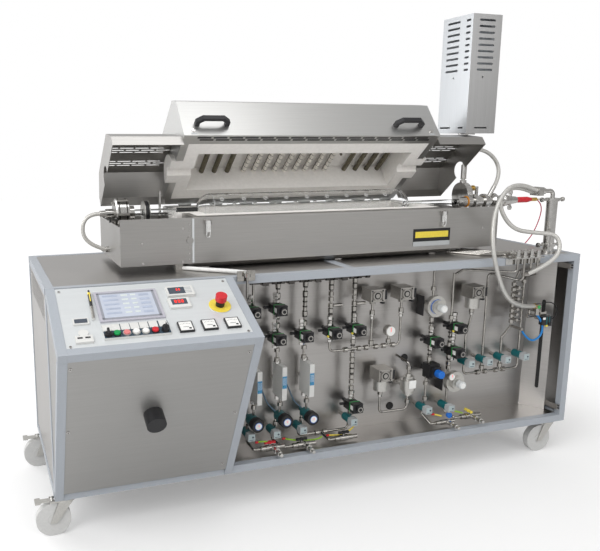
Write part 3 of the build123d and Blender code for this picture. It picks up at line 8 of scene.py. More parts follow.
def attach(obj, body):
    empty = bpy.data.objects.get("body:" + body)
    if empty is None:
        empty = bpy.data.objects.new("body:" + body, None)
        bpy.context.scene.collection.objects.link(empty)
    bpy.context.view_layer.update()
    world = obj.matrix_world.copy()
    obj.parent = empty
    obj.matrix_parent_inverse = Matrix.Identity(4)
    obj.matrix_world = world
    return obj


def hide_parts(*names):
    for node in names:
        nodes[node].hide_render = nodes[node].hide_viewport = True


# The frame's origin lies under the middle of the object. These give the place of the
# front left corner of the cabinet, so that sizes below can be written in millimetres from it.
corner_x = -1185.0
corner_y = -219.576
frame_bottom = 155.0
worktop = 925.0
console_reach = 310.0
console_edge = 783.0
furnace_front = 170.0
furnace_left = 570.0
furnace_right = 1730.0
parting = 1127.0
tube_y = 400.0
hinge_y = 642.0
hinge_z = 1118.0
lid_angle = math.radians(40)
pipe_y = 110.0

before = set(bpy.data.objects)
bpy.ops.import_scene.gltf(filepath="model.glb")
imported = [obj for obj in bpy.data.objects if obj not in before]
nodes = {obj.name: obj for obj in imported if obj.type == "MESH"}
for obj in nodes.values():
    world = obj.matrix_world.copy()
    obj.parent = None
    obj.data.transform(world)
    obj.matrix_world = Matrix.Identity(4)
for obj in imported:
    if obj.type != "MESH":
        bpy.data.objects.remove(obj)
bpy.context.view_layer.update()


def place(x, y, z):
    """Metres in the frame from millimetres at the cabinet's corner."""
    return Vector(((x + corner_x) / 1000, (y + corner_y) / 1000, z / 1000))


def opened(x, y, z):
    """Where a point of the closed lid is while the lid stands open."""
    c, s = math.cos(lid_angle), math.sin(lid_angle)
    across = y - hinge_y
    above = z - hinge_z
    return (x, hinge_y + c * across + s * above, hinge_z - s * across + c * above)


slope = math.hypot(console_reach, worktop - console_edge)
slope_down = Vector((0, -console_reach / slope, -(worktop - console_edge) / slope))
slope_out = Vector((0, -(worktop - console_edge) / slope, console_reach / slope))
lean = math.hypot(console_reach, console_edge - frame_bottom)
lean_down = Vector((0, console_reach / lean, -(console_edge - frame_bottom) / lean))
lean_out = Vector((0, -(console_edge - frame_bottom) / lean, -console_reach / lean))
right = Vector((1, 0, 0))


def console(x, down, height):
    """A point over the sloping console, in frame metres."""
    return place(x, 0, worktop) + (slope_down * down + slope_out * height) / 1000


def leaning(x, down, height):
    """A point over the leaning front under the console, in frame metres."""
    return place(x, -console_reach, console_edge) + (lean_down * down + lean_out * height) / 1000


# Materials. Each one is built from noise in object coordinates.

def link(tree, a, out, b, into):
    tree.links.new(a.outputs[out], b.inputs[into])


def surface(name, colour, rough, metal=0.0, vary=0.06, grain=(40, 40, 40), bump=0.0, coat=0.0,
            clear=0.0, ior=1.45, edge=0.0008, glow=0.0):
    """A Principled surface whose colour and relief vary with noise."""
    mat = bpy.data.materials.new(name)
    mat.use_nodes = True
    tree = mat.node_tree
    tree.nodes.clear()
    out = tree.nodes.new("ShaderNodeOutputMaterial")
    shader = tree.nodes.new("ShaderNodeBsdfPrincipled")
    link(tree, shader, "BSDF", out, "Surface")
    shader.inputs["Roughness"].default_value = rough
    shader.inputs["Metallic"].default_value = metal
    shader.inputs["Coat Weight"].default_value = coat
    shader.inputs["Transmission Weight"].default_value = clear
    shader.inputs["IOR"].default_value = ior
    coords = tree.nodes.new("ShaderNodeTexCoord")
    mapping = tree.nodes.new("ShaderNodeMapping")
    mapping.inputs["Scale"].default_value = grain
    link(tree, coords, "Object", mapping, "Vector")
    noise = tree.nodes.new("ShaderNodeTexNoise")
    noise.inputs["Scale"].default_value = 1.0
    noise.inputs["Detail"].default_value = 5.0
    link(tree, mapping, "Vector", noise, "Vector")
    ramp = tree.nodes.new("ShaderNodeValToRGB")
    low = [max(0.0, c * (1 - vary)) for c in colour]
    high = [min(1.0, c * (1 + vary)) for c in colour]
    ramp.color_ramp.elements[0].color = (*low, 1)
    ramp.color_ramp.elements[1].color = (*high, 1)
    ramp.color_ramp.elements[0].position = 0.3
    ramp.color_ramp.elements[1].position = 0.7
    link(tree, noise, "Fac", ramp, "Fac")
    link(tree, ramp, "Color", shader, "Base Color")
    if glow:
        link(tree, ramp, "Color", shader, "Emission Color")
        shader.inputs["Emission Strength"].default_value = glow
    relief = tree.nodes.new("ShaderNodeBump")
    relief.inputs["Strength"].default_value = bump
    relief.inputs["Distance"].default_value = 0.0006
    link(tree, noise, "Fac", relief, "Height")
    if edge:
        bevel = tree.nodes.new("ShaderNodeBevel")
        bevel.samples = 3
        bevel.inputs["Radius"].default_value = edge
        link(tree, bevel, "Normal", relief, "Normal")
    link(tree, relief, "Normal", shader, "Normal")
    return mat


# Name, colour, roughness, metal, variation, grain, relief
steel = surface("panel_steel", (0.47, 0.455, 0.44), 0.32, 1.0, 0.04, (3, 3, 300), 0.04)
# Painted light and shade: a light copy of the console's steel for its sloped top, a dark copy for the front
# leaning under it
console_steel_lit = surface("console_steel_lit", (0.7, 0.725, 0.735), 0.42, 0.35, 0.02, (4, 60, 60), 0.02)
leaning_steel_shaded = surface("leaning_steel_shaded", (0.4, 0.395, 0.385), 0.4, 0.8, 0.03, (4, 60, 300), 0.03)
steel_wide = surface("case_steel", (0.45, 0.44, 0.425), 0.33, 1.0, 0.05, (6, 500, 500), 0.05)
steel_bright = surface("fitting_steel", (0.6, 0.59, 0.57), 0.16, 1.0, 0.1, (60, 60, 60), 0.03)
steel_light = surface("lid_steel", (0.6, 0.6, 0.59), 0.36, 1.0, 0.04, (5, 480, 480), 0.05)
# Painted shade: a darker copy of the tower's steel for its front face
tower_front_shade = surface("tower_front_shade", (0.42, 0.42, 0.42), 0.36, 1.0, 0.05, (400, 400, 5), 0.04)
dark_cast = surface("dark_cast", (0.2, 0.19, 0.175), 0.35, 0.8, 0.15, (160, 160, 160), 0.15)
latch_metal = surface("latch_metal", (0.82, 0.82, 0.81), 0.25, 0.6, 0.08, (160, 160, 160), 0.1)
pipe_steel = surface("pipe_steel", (0.4, 0.385, 0.36), 0.14, 1.0, 0.12, (60, 60, 60), 0.03)
dark_pipe = surface("dark_pipe", (0.1, 0.095, 0.09), 0.25, 0.9, 0.2, (90, 90, 90), 0.05)
tower_steel = surface("tower_steel", (0.6, 0.62, 0.64), 0.3, 1.0, 0.04, (400, 400, 5), 0.04)
paint = surface("frame_paint", (0.4, 0.43, 0.47), 0.42, 0.0, 0.03, (300, 300, 300), 0.06, coat=0.1)
fibre = surface("insulation", (0.94, 0.915, 0.88), 0.95, 0.0, 0.03, (70, 70, 70), 0.4, edge=0.002)
dark_heater = surface("bare_heater", (0.13, 0.115, 0.075), 0.6, 0.0, 0.25, (90, 90, 90), 0.2)
pale_heater = surface("wound_heater", (0.86, 0.82, 0.75), 0.8, 0.0, 0.12, (90, 90, 90), 0.2)
wire_metal = surface("heater_wire", (0.025, 0.02, 0.014), 0.75, 0.0, 0.3, (200, 200, 200), 0.1, edge=0)
quartz = surface("quartz_glass", (0.985, 0.99, 0.99), 0.0, 0.0, 0.005, (5, 5, 5), clear=1.0, ior=1.2, edge=0)
# Painted highlight: pale coated glass for the bright rings on the quartz tube
quartz_highlight = surface("quartz_highlight", (0.8, 0.82, 0.83), 0.1, 0.0, 0.03, (60, 60, 60), coat=0.5, edge=0)
black = surface("black_plastic", (0.017, 0.017, 0.019), 0.42, 0.0, 0.2, (400, 400, 400), 0.1)
rubber = surface("black_rubber", (0.02, 0.02, 0.02), 0.65, 0.0, 0.2, (300, 300, 300), 0.2)
valve_grey = surface("valve_grey", (0.42, 0.5, 0.51), 0.35, 0.0, 0.06, (200, 200, 200), 0.03)
leaf = surface("green_line", (0.05, 0.42, 0.1), 0.4, 0.0, 0.15, (300, 300, 300))
orange = surface("orange_seal", (0.75, 0.3, 0.03), 0.4, 0.0, 0.1, (200, 200, 200), 0.02)
slate = surface("slate_cable", (0.08, 0.13, 0.18), 0.4, 0.0, 0.1, (200, 200, 200), 0.05, edge=0)
teal = surface("teal_plastic", (0.0, 0.13, 0.145), 0.35, 0.0, 0.12, (200, 200, 200), 0.05)
grey_plastic = surface("grey_plastic", (0.5, 0.52, 0.53), 0.45, 0.0, 0.05, (300, 300, 300), 0.05)
pale_plastic = surface("pale_plastic", (0.72, 0.72, 0.7), 0.42, 0.0, 0.04, (300, 300, 300), 0.05)
white_plastic = surface("white_plastic", (0.86, 0.86, 0.84), 0.3, 0.0, 0.03, (200, 200, 200), 0.02)
cast_grey = surface("cast_grey", (0.42, 0.405, 0.38), 0.36, 0.9, 0.1, (160, 160, 160), 0.15)
pale_metal = surface("pale_metal", (0.6, 0.59, 0.56), 0.35, 0.9, 0.07, (200, 200, 200), 0.08)
nylon = surface("wheel_nylon", (0.62, 0.62, 0.61), 0.45, 0.0, 0.04, (120, 120, 120), 0.05, edge=0.002)
red = surface("red_plastic", (0.62, 0.02, 0.03), 0.3, 0.0, 0.08, (150, 150, 150), 0.02)
pink_lamp = surface("clear_red_lamp", (0.75, 0.22, 0.22), 0.25, 0.0, 0.1, (150, 150, 150), 0.02)
green = surface("green_plastic", (0.0, 0.3, 0.07), 0.28, 0.0, 0.1, (150, 150, 150), 0.02)
yellow = surface("yellow_plastic", (0.88, 0.7, 0.08), 0.35, 0.0, 0.06, (150, 150, 150), 0.02)
blue_tube = surface("blue_tube", (0.01, 0.22, 0.6), 0.28, 0.0, 0.08, (150, 150, 150), 0.02, edge=0)
blue = surface("blue_plastic", (0.01, 0.16, 0.62), 0.3, 0.0, 0.1, (150, 150, 150), 0.02)
sky_label = surface("blue_label", (0.06, 0.27, 0.5), 0.4, 0.0, 0.1, (300, 300, 300), edge=0)
lime = surface("earth_wire", (0.3, 0.55, 0.03), 0.4, 0.0, 0.3, (500, 90, 90))
brass = surface("brass", (0.62, 0.42, 0.13), 0.3, 1.0, 0.1, (120, 120, 120), 0.05)
copper_red = surface("red_cable", (0.42, 0.01, 0.06), 0.45, 0.0, 0.1, (300, 300, 300), 0.05, edge=0)
clear_cap = surface("clear_plastic", (0.72, 0.74, 0.74), 0.15, 0.0, 0.05, (100, 100, 100), coat=0.5)
screen_grey = surface("screen_bezel", (0.5, 0.49, 0.55), 0.4, 0.1, 0.05, (200, 200, 200), 0.02)
screen_rim = surface("screen_rim", (0.3, 0.31, 0.35), 0.35, 0.0, 0.05, (200, 200, 200), 0.02)
screen_glow = surface("screen_picture", (0.5, 0.54, 0.63), 0.25, 0.0, 0.05, (18, 18, 18), glow=0.06, edge=0)
screen_bar = surface("screen_bars", (0.4, 0.45, 0.56), 0.3, 0.0, 0.1, (30, 30, 30), glow=0.03, edge=0)
screen_pale = surface("screen_fields", (0.62, 0.67, 0.66), 0.3, 0.0, 0.03, (30, 30, 30), glow=0.05, edge=0)
digits = surface("red_digits", (0.9, 0.03, 0.02), 0.4, 0.0, 0.1, (300, 300, 300), glow=0.6, edge=0)
dark_window = surface("dark_window", (0.07, 0.085, 0.11), 0.25, 0.0, 0.1, (200, 200, 200), edge=0)
rail_dark = surface("button_rail", (0.03, 0.06, 0.09), 0.4, 0.0, 0.15, (200, 200, 200), 0.05)
ptfe = surface("white_tube", (0.82, 0.82, 0.8), 0.4, 0.0, 0.04, (90, 90, 90), 0.05, edge=0)


def braided(name, colour, pitch):
    """A woven steel hose: crossed waves make the strands."""
    mat = surface(name, colour, 0.4, 0.6, 0.05, (200, 200, 200), 0.2, edge=0)
    tree = mat.node_tree
    coords = next(n for n in tree.nodes if n.type == "TEX_COORD")
    relief = next(n for n in tree.nodes if n.type == "BUMP")
    noise = next(n for n in tree.nodes if n.type == "TEX_NOISE")
    strands = []
    for turn in (0.6, -0.6):
        mapping = tree.nodes.new("ShaderNodeMapping")
        mapping.inputs["Rotation"].default_value = (turn, turn, turn)
        link(tree, coords, "Object", mapping, "Vector")
        wave = tree.nodes.new("ShaderNodeTexWave")
        wave.inputs["Scale"].default_value = pitch
        link(tree, mapping, "Vector", wave, "Vector")
        strands.append(wave)
    both = tree.nodes.new("ShaderNodeMath")
    both.operation = "MULTIPLY"
    link(tree, strands[0], "Fac", both, 0)
    link(tree, strands[1], "Fac", both, 1)
    with_noise = tree.nodes.new("ShaderNodeMath")
    with_noise.operation = "ADD"
    link(tree, both, "Value", with_noise, 0)
    link(tree, noise, "Fac", with_noise, 1)
    link(tree, with_noise, "Value", relief, "Height")
    relief.inputs["Strength"].default_value = 0.5
    return mat


braid = braided("braided_hose", (0.62, 0.61, 0.58), 160)


def dress(node, material):
    """Give a CAD node its material."""
    node_object = nodes[node]
    node_object.data.materials.clear()
    node_object.data.materials.append(material)


def dress_zones(node, base, zones):
    """Give a CAD node a base material and others to its faces inside boxes in millimetres."""
    dress(node, base)
    mesh = nodes[node].data
    for low, high, material in zones:
        if material.name not in [m.name for m in mesh.materials]:
            mesh.materials.append(material)
        index = [m.name for m in mesh.materials].index(material.name)
        a = place(*low)
        b = place(*high)
        for face in mesh.polygons:
            c = face.center
            if all(a[i] <= c[i] <= b[i] for i in range(3)):
                face.material_index = index


# Shapes for small details

def add(name, data):
    """Put new data into the scene as an object."""
    thing = bpy.data.objects.new(name, data)
    bpy.context.scene.collection.objects.link(thing)
    return thing


def box_shape(centre, size, axes=None):
    """A box as (matrix, sides, hole). Sizes are in millimetres, the centre in frame metres."""
    turn = axes if axes else Matrix.Identity(3)
    scale = Matrix.Diagonal((*[s / 1000 for s in size], 1))
    return (Matrix.Translation(centre) @ turn.to_4x4() @ scale, 0, 0)


def rod_shape(centre, radius, length, direction, sides=24):
    """A cylinder or, with few sides, a nut. Sizes are in millimetres."""
    turn = Vector(direction).normalized().to_track_quat("Z", "Y").to_matrix()
    scale = Matrix.Diagonal((radius / 1000, radius / 1000, length / 1000, 1))
    return (Matrix.Translation(centre) @ turn.to_4x4() @ scale, sides, 0)


def ring_shape(centre, radius, hole, length, direction, sides=40):
    """A ring with a round hole. Sizes are in millimetres."""
    matrix = rod_shape(centre, radius, length, direction)[0]
    return (matrix, sides, hole / radius)


def add_ring(bm, matrix, sides, hole):
    """Add a ring of unit radius and unit length, moved by a matrix."""
    turns = [2 * math.pi * step / sides for step in range(sides)]
    loops = []
    for radius, height in ((1.0, -0.5), (1.0, 0.5), (hole, 0.5), (hole, -0.5)):
        corners = [Vector((radius * math.cos(turn), radius * math.sin(turn), height)) for turn in turns]
        loops.append([bm.verts.new(matrix @ corner) for corner in corners])
    for number in range(4):
        first, second = loops[number], loops[(number + 1) % 4]
        for step in range(sides):
            after = (step + 1) % sides
            bm.faces.new((first[step], first[after], second[after], second[step]))


def piece(name, shapes, material, body):
    """Join shapes into one object that rides on a body."""
    mesh = bpy.data.meshes.new(name)
    bm = bmesh.new()
    for matrix, sides, hole in shapes:
        if not sides:
            bmesh.ops.create_cube(bm, size=1.0, matrix=matrix)
        elif hole:
            add_ring(bm, matrix, sides, hole)
        else:
            bmesh.ops.create_cone(bm, cap_ends=True, segments=sides, radius1=1.0, radius2=1.0, depth=1.0,
                                  matrix=matrix)
    bmesh.ops.recalc_face_normals(bm, faces=bm.faces)
    bm.to_mesh(mesh)
    bm.free()
    for face in mesh.polygons:
        face.use_smooth = len(face.vertices) == 4
    mesh.materials.append(material)
    thing = add(name, mesh)
    mod = thing.modifiers.new("crisp", "EDGE_SPLIT")
    mod.split_angle = math.radians(35)
    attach(thing, body)


console_axes = Matrix((right, -slope_down, slope_out)).transposed()
lid_axes = Matrix.Rotation(-lid_angle, 3, "X")


def console_box(x0, x1, down0, down1, low, high):
    """A box on the sloping console."""
    centre = console((x0 + x1) / 2, (down0 + down1) / 2, (low + high) / 2)
    return box_shape(centre, (x1 - x0, down1 - down0, high - low), console_axes)


def console_rod(x, down, radius, low, high, sides=32):
    """A disc on the sloping console."""
    return rod_shape(console(x, down, (low + high) / 2), radius, high - low, slope_out, sides)


def console_ring(x, down, radius, hole, low, high, sides=40):
    """A ring on the sloping console."""
    return ring_shape(console(x, down, (low + high) / 2), radius, hole, high - low, slope_out, sides)


def lid_box(x0, x1, y0, y1, z0, z1):
    """A box on the lid, given where it is with the lid closed."""
    centre = place(*opened((x0 + x1) / 2, (y0 + y1) / 2, (z0 + z1) / 2))
    return box_shape(centre, (x1 - x0, y1 - y0, z1 - z0), lid_axes)


def plain_box(x0, x1, y0, y1, z0, z1):
    """A box along the axes."""
    centre = place((x0 + x1) / 2, (y0 + y1) / 2, (z0 + z1) / 2)
    return box_shape(centre, (x1 - x0, y1 - y0, z1 - z0))


# The CAD nodes' own materials

plain_nodes = {
    "body_panels": steel, "bay_panels": steel, "base_frame": paint, "furnace_shell": steel_wide,
    "lid_shell": steel_light, "lid_end_covers": steel_wide, "lower_insulation": fibre,
    "lid_insulation": fibre,
    "lid_handles": black, "quartz_tube": quartz, "tube_pulley": pale_metal, "motor_pulley": pale_metal,
    "filter_column": steel_bright, "solenoid_valves": black, "left_regulator_knob": black,
    "middle_regulator_knob": black, "right_regulator_knob": black, "upper_dome_knob": clear_cap,
    "lower_dome_knob": clear_cap, "blue_knob": blue, "red_valve_lever": red, "yellow_valve_lever": yellow,
    "left_black_valve_lever": black, "right_black_valve_lever": black, "touch_panel": screen_grey,
    "emergency_stop": red, "green_button": green, "white_button": white_plastic, "red_button": red,
    "selector_lever": black, "key_switch": black, "left_latch_lever": latch_metal,
    "right_latch_lever": latch_metal, "front_left_brake_pedal": pale_metal,
    "back_left_brake_pedal": pale_metal, "hose_a": braid, "hose_b": braid, "tower_hose": braid,
    "purge_hose": braid, "supply_hose": ptfe, "blue_hose": blue, "sensor_cable": copper_red}
for name, material in plain_nodes.items():
    dress(name, material)
for corner in ("front_left", "back_left", "front_right", "back_right"):
    dress(corner + "_caster_fork", pale_metal)
    dress(corner + "_caster_wheel", nylon)

# Nodes with more than one material, whose zones are boxes from a low to a high corner
# Painted light and shade: the leaning front gets the dark copy of the console steel, the rest the light copy
dress_zones("console_panels", console_steel_lit, [((-10, -330, 150), (680, 10, 775), leaning_steel_shaded)])
# Painted shade: the tower's front face gets the darker copy of its steel
dress_zones("torch_tower", tower_steel, [((1900, 346, 1430), (2070, 352, 1960), tower_front_shade)])
dress_zones("drive_unit", black, [((460, 300, 900), (600, 500, 1100), cast_grey)])
dress_zones("tube_fittings", steel_bright, [
    ((2262, 350, 1090), (2353, 450, 1165), red), ((2353, 350, 1090), (2437, 450, 1165), brass),
    ((2004, 420, 1165), (2056, 480, 1205), brass), ((500, 180, 920), (536, 220, 955), cast_grey)])
dress_zones("gas_lines", pipe_steel, [((770, 90, 862), (1310, 130, 884), dark_pipe)])
dress_zones("diaphragm_valves", teal, [
    ((600, 40, 100), (2300, 84.5, 700), grey_plastic), ((600, 140, 100), (2300, 173, 700), cast_grey)])
dress_zones("gas_sensors", cast_grey, [
    ((780, 40, 350), (1045, 160, 560), pale_plastic), ((1340, 60, 330), (1410, 150, 420), pale_metal),
    ((1780, 60, 640), (1850, 150, 742), pale_metal), ((1470, 60, 300), (1560, 150, 440), pale_metal)])
dress_zones("regulator_bodies", pale_metal, [
    ((760, 60, 250), (1070, 172, 350), teal), ((1590, 60, 380), (1660, 172, 480), black)])

heater_x = [744, 803, 863, 940, 989, 1039, 1089, 1139, 1189, 1240, 1291, 1342, 1445, 1504, 1563, 1622]
wound = heater_x[3:12]
dress_zones("instruments", pale_plastic, [((280, -270, 430), (360, -140, 570), black)])
dress_zones("lid_heaters", dark_heater, [((wound[0] - 20, 0, 900), (wound[-1] + 20, 900, 1700), pale_heater)])


# Screws on the console and on the leaning front below it

def small_screws(name, places, radius, low, high, on, body, material=steel_bright):
    """Round screw heads with a dark slot, on a plane given by a placing function."""
    heads = []
    slots = []
    for x, along in places:
        out = on(x, along, high) - on(x, along, low)
        heads.append(rod_shape((on(x, along, low) + on(x, along, high)) / 2, radius, high - low, out, 16))
        slots.append(rod_shape(on(x, along, high), radius * 0.45, 0.6, out, 6))
    piece(name + "_heads", heads, material, body)
    piece(name + "_sockets", slots, black, body)


console_screws = [(42, 23), (619, 24), (620, 305), (43, 304)]
front_screws = [(39, 59), (38, 344), (622, 62), (619, 350), (614, 628)]
small_screws("console_screw", console_screws, 5, -1, 1.6, console, "base")
small_screws("panel_screw", front_screws, 5, -1, 1.6, leaning, "base")

# The controls on the console. Boxes there run along X, down the slope and out of it.

picture = [console_box(168, 347, 60, 185, 4.4, 5.2)]
piece("screen_picture", picture, screen_glow, "base")
rim = [console_box(160, 356, 52, 60, 4.4, 5.6), console_box(160, 356, 185, 193, 4.4, 5.6),
       console_box(160, 168, 52, 193, 4.4, 5.6), console_box(347, 356, 52, 193, 4.4, 5.6)]
piece("screen_rim", rim, screen_rim, "base")
rows = []
fields = []
row_pitch = 23
for row in range(5):
    down = 66 + row_pitch * row
    rows.append(console_box(178, 228, down, down + 9, 5.2, 5.5))
    fields.append(console_box(240, 262, down, down + 9, 5.2, 5.5))
    fields.append(console_box(272, 290, down, down + 9, 5.2, 5.5))
    rows.append(console_box(300, 334, down + 2, down + 13, 5.2, 5.5))
piece("screen_rows", rows, screen_bar, "base")
piece("screen_fields", fields, screen_pale, "base")

piece("limiter_windows", [console_box(404, 462, 56, 92, 12, 12.6), console_box(402, 456, 116, 146, 8, 8.6)],
      dark_window, "base")
lit_digits = [console_box(432 + 9 * n, 437 + 9 * n, 64, 76, 12.6, 12.9) for n in range(2)]
lit_digits += [console_box(412 + 12 * n, 420 + 12 * n, 122, 138, 8.6, 8.9) for n in range(3)]
piece("limiter_digits", lit_digits, digits, "base")
keys = [console_box(462, 486, 58 + 9 * n, 62 + 9 * n, 12, 12.8) for n in range(4)]
piece("limiter_keys", keys, grey_plastic, "base")

meter_left = (394, 474.6, 555.2)
meter_size = 48
faces = []
edges = []
needles = []
for left in meter_left:
    faces.append(console_box(left + 3, left + meter_size - 3, 238, 280, 6, 6.8))
    edges.append(console_box(left - 0.6, left + meter_size + 0.6, 234.4, 283.6, -1, 6.4))
    needles.append(console_box(left + 14, left + 33, 263, 264.5, 6.8, 7.2))
    needles.append(console_box(left + 32, left + 40, 268, 275, 6.8, 7.2))
    for mark in range(7):
        at = left + 8 + 5 * mark
        needles.append(console_box(at, at + 1, 244 + abs(3 - mark), 248 + abs(3 - mark), 6.8, 7.1))
piece("meter_faces", faces, white_plastic, "base")
piece("meter_rims", edges, black, "base")
piece("meter_needles", needles, black, "base")

piece("display_window", [console_box(70, 111, 179, 199, 5, 5.6)], dark_window, "base")
piece("plug_sockets", [console_box(68, 84, 270, 277, 7, 7.6), console_box(92, 108, 270, 277, 7, 7.6)],
      black, "base")
piece("button_bar", [console_box(150.4, 362.6, 223.4, 286.6, 8, 8.6)], rail_dark, "base")

# The row of buttons and lamps, and the rings under the emergency stop
control_x = (164, 191, 222, 252, 282, 313, 346)
control_down = 272
bar_top = 8.6
collar_top = 12.2
collar_radius = 13.1
lens_radius = 10.2
stop_place = (565, 162)
stop_hole = 8.6
disc_top = 2.8
labels = [console_box(x - 14, x + 14, 225, 255, bar_top, 10.4) for x in control_x]
piece("label_holders", labels, pale_plastic, "base")
collars = [console_rod(x, control_down, collar_radius, bar_top, collar_top) for x in control_x]
piece("button_collars", collars[:2] + collars[5:], black, "base")
piece("lamp_collars", collars[2:5], pale_metal, "base")
piece("lamp_lenses", [console_rod(control_x[4], control_down, lens_radius, collar_top, 16)], white_plastic,
      "base")
piece("red_lamp_lens", [console_rod(control_x[2], control_down, lens_radius, collar_top, 16)], pink_lamp,
      "base")
piece("stop_disc", [console_ring(*stop_place, 38.6, stop_hole, 2, disc_top, 64)], yellow, "base")
piece("stop_collar", [console_ring(*stop_place, 15.2, stop_hole, disc_top, 20.2)], black, "base")

# The pen in its holder
pen_tip = console(138, 35, 7)
pen_end = console(132, 184, 7)
pen_along = pen_end - pen_tip
piece("pen_grip", [rod_shape(pen_tip + pen_along * 0.05, 3.6, 14, pen_along),
                   rod_shape(pen_tip + pen_along * 0.38, 5.3, 70, pen_along)], black, "base")
piece("pen_band", [rod_shape(pen_tip + pen_along * 0.13, 5.35, 9, pen_along),
                   rod_shape(pen_tip + pen_along * 0.3 + slope_out * 0.005, 1.8, 40, pen_along)],
      yellow, "base")
piece("pen_clip", [rod_shape(pen_tip + pen_along * 0.62, 5.6, 6, pen_along),
                   rod_shape(pen_tip + pen_along * 0.8, 5.0, 44, pen_along),
                   rod_shape(pen_tip + pen_along * 0.97, 4.2, 9, pen_along)],
      cast_grey, "base")

# The bare nameplate on the furnace case
plate_left = 1538
plate_right = 1722
plate_low = 968
plate_face = furnace_front - 1.2
band_face = furnace_front - 1.7
piece("nameplate", [plain_box(plate_left, plate_right, plate_face, furnace_front, plate_low, 1042)],
      black, "base")
piece("nameplate_strip", [plain_box(plate_left, plate_right, band_face, plate_face, plate_low, 988)],
      grey_plastic, "base")
piece("nameplate_band", [plain_box(plate_left + 10, plate_right - 10, band_face, plate_face, 1004, 1030)],
      yellow, "base")


# Where the gas panel's parts are, along X and up from the cabinet's underside

valve_places = [(776, 610), (886, 612), (884, 494), (1001, 496), (1127, 497), (1237, 500), (1236, 170),
                (1728, 465), (1615, 413), (1726, 357)]
controller_places = [(800, 296), (905, 304), (1024, 304)]
knurled_places = [(794, 154), (917, 155), (1033, 152)]
diaphragm_places = [(769, 107), (878, 104), (994, 105), (1225, 109), (1589, 112), (1704, 106), (1794, 300),
                    (1890, 299), (1988, 299), (2088, 303)]
transducer_places = [(1319, 637), (1457, 636), (1374, 291), (1815, 615)]
dome_places = [(1622, 563), (1742, 214)]


def in_bay(x, y, height):
    """A point in the bay, with the height from the cabinet's underside."""
    return place(x, y, frame_bottom + height)


def bay_box(x, width, y, depth, height, tall):
    """A box in the bay about a middle point."""
    return box_shape(in_bay(x, y, height), (width, depth, tall))


fronts = []
squares = []
for x, height in diaphragm_places:
    fronts.append(bay_box(x, 27, 55.5, 1.2, height, 27))
    squares.append(rod_shape(in_bay(x + 5, 54.6, height + 2), 4, 1.4, (0, 1, 0), 20))
    squares.append(bay_box(x, 20, 54.8, 0.8, height - 9, 2))
piece("valve_fronts", fronts, valve_grey, "base")
piece("valve_marks", squares, dark_window, "base")

stripes = []
tags = []
coil_rings = []
coil_ends = []
dots = []
for number, (x, height) in enumerate(valve_places):
    stripes.append(bay_box(x + 4, 45.4, 86, 4, height - 2, 41.4))
    tags.append(bay_box(x - 18.6, 1, 70, 20, height, 18))
    coil_rings.append(rod_shape(in_bay(x + 6, 40.4, height - 2), 11, 1.4, (0, 1, 0), 32))
    coil_ends.append(rod_shape(in_bay(x + 6, 39.4, height - 2), 7, 1.4, (0, 1, 0), 32))
    if number in (4, 5, 7):
        dots.append(rod_shape(in_bay(x - 24, 80, height - 14), 4, 6, (0, 1, 0), 20))
piece("valve_stripes", stripes, leaf, "base")
piece("valve_tags", tags, white_plastic, "base")
piece("coil_rings", coil_rings, cast_grey, "base")
piece("coil_ends", coil_ends, black, "base")
piece("coil_dots", dots, yellow, "base")

# Hex nuts on the pipes above and below each valve, given by their height over it, radius and length
valve_nuts = [(26, 13, 12), (40, 11.5, 10), (54, 13, 12), (-26, 13, 12), (-40, 11.5, 10)]
nuts = []
for x, height in valve_places:
    for offset, radius, length in valve_nuts:
        nuts.append(rod_shape(in_bay(x, pipe_y, height + offset), radius, length, (0, 0, 1), 6))
for x, height in transducer_places:
    nuts.append(rod_shape(in_bay(x, pipe_y, height - 84), 11, 14, (0, 0, 1), 6))
    nuts.append(rod_shape(in_bay(x, pipe_y, height - 100), 9, 10, (0, 0, 1), 6))
for x, height in controller_places:
    nuts.append(rod_shape(in_bay(x - 6, pipe_y, height + 87), 12, 14, (0, 0, 1), 6))
    nuts.append(rod_shape(in_bay(x - 6, pipe_y, height - 63), 12, 14, (0, 0, 1), 6))
piece("pipe_nuts", nuts, steel_bright, "base")

# Painted shade and dark reflections: dark bands between the unions of the upright pipes
collars = []
for x, low, high in ((894, 540, 704), (1012, 540, 704), (1127, 540, 704), (1234, 540, 704), (1234, 218, 440),
                     (1612, 300, 500), (1712, 290, 500)):
    for step in range(int((high - low) / 20)):
        collars.append(rod_shape(in_bay(x, pipe_y, low + 20 * step + 8), 9.5, 6, (0, 0, 1), 20))
piece("pipe_shade_bands", collars, dark_pipe, "base")

bands = []
marks = []
leds = []
for x, height in controller_places:
    bands.append(bay_box(x - 2, 18.4, 49.4, 1, height + 18, 50))
    for line in range(3):
        marks.append(bay_box(x - 7 + 5 * line, 1.3, 48.7, 0.6, height + 22, 30))
    leds.append(bay_box(x - 8, 2.6, 48.6, 0.8, height + 3, 3))
piece("controller_bands", bands, sky_label, "base")
piece("controller_marks", marks, white_plastic, "base")
piece("controller_leds", leds, green, "base")

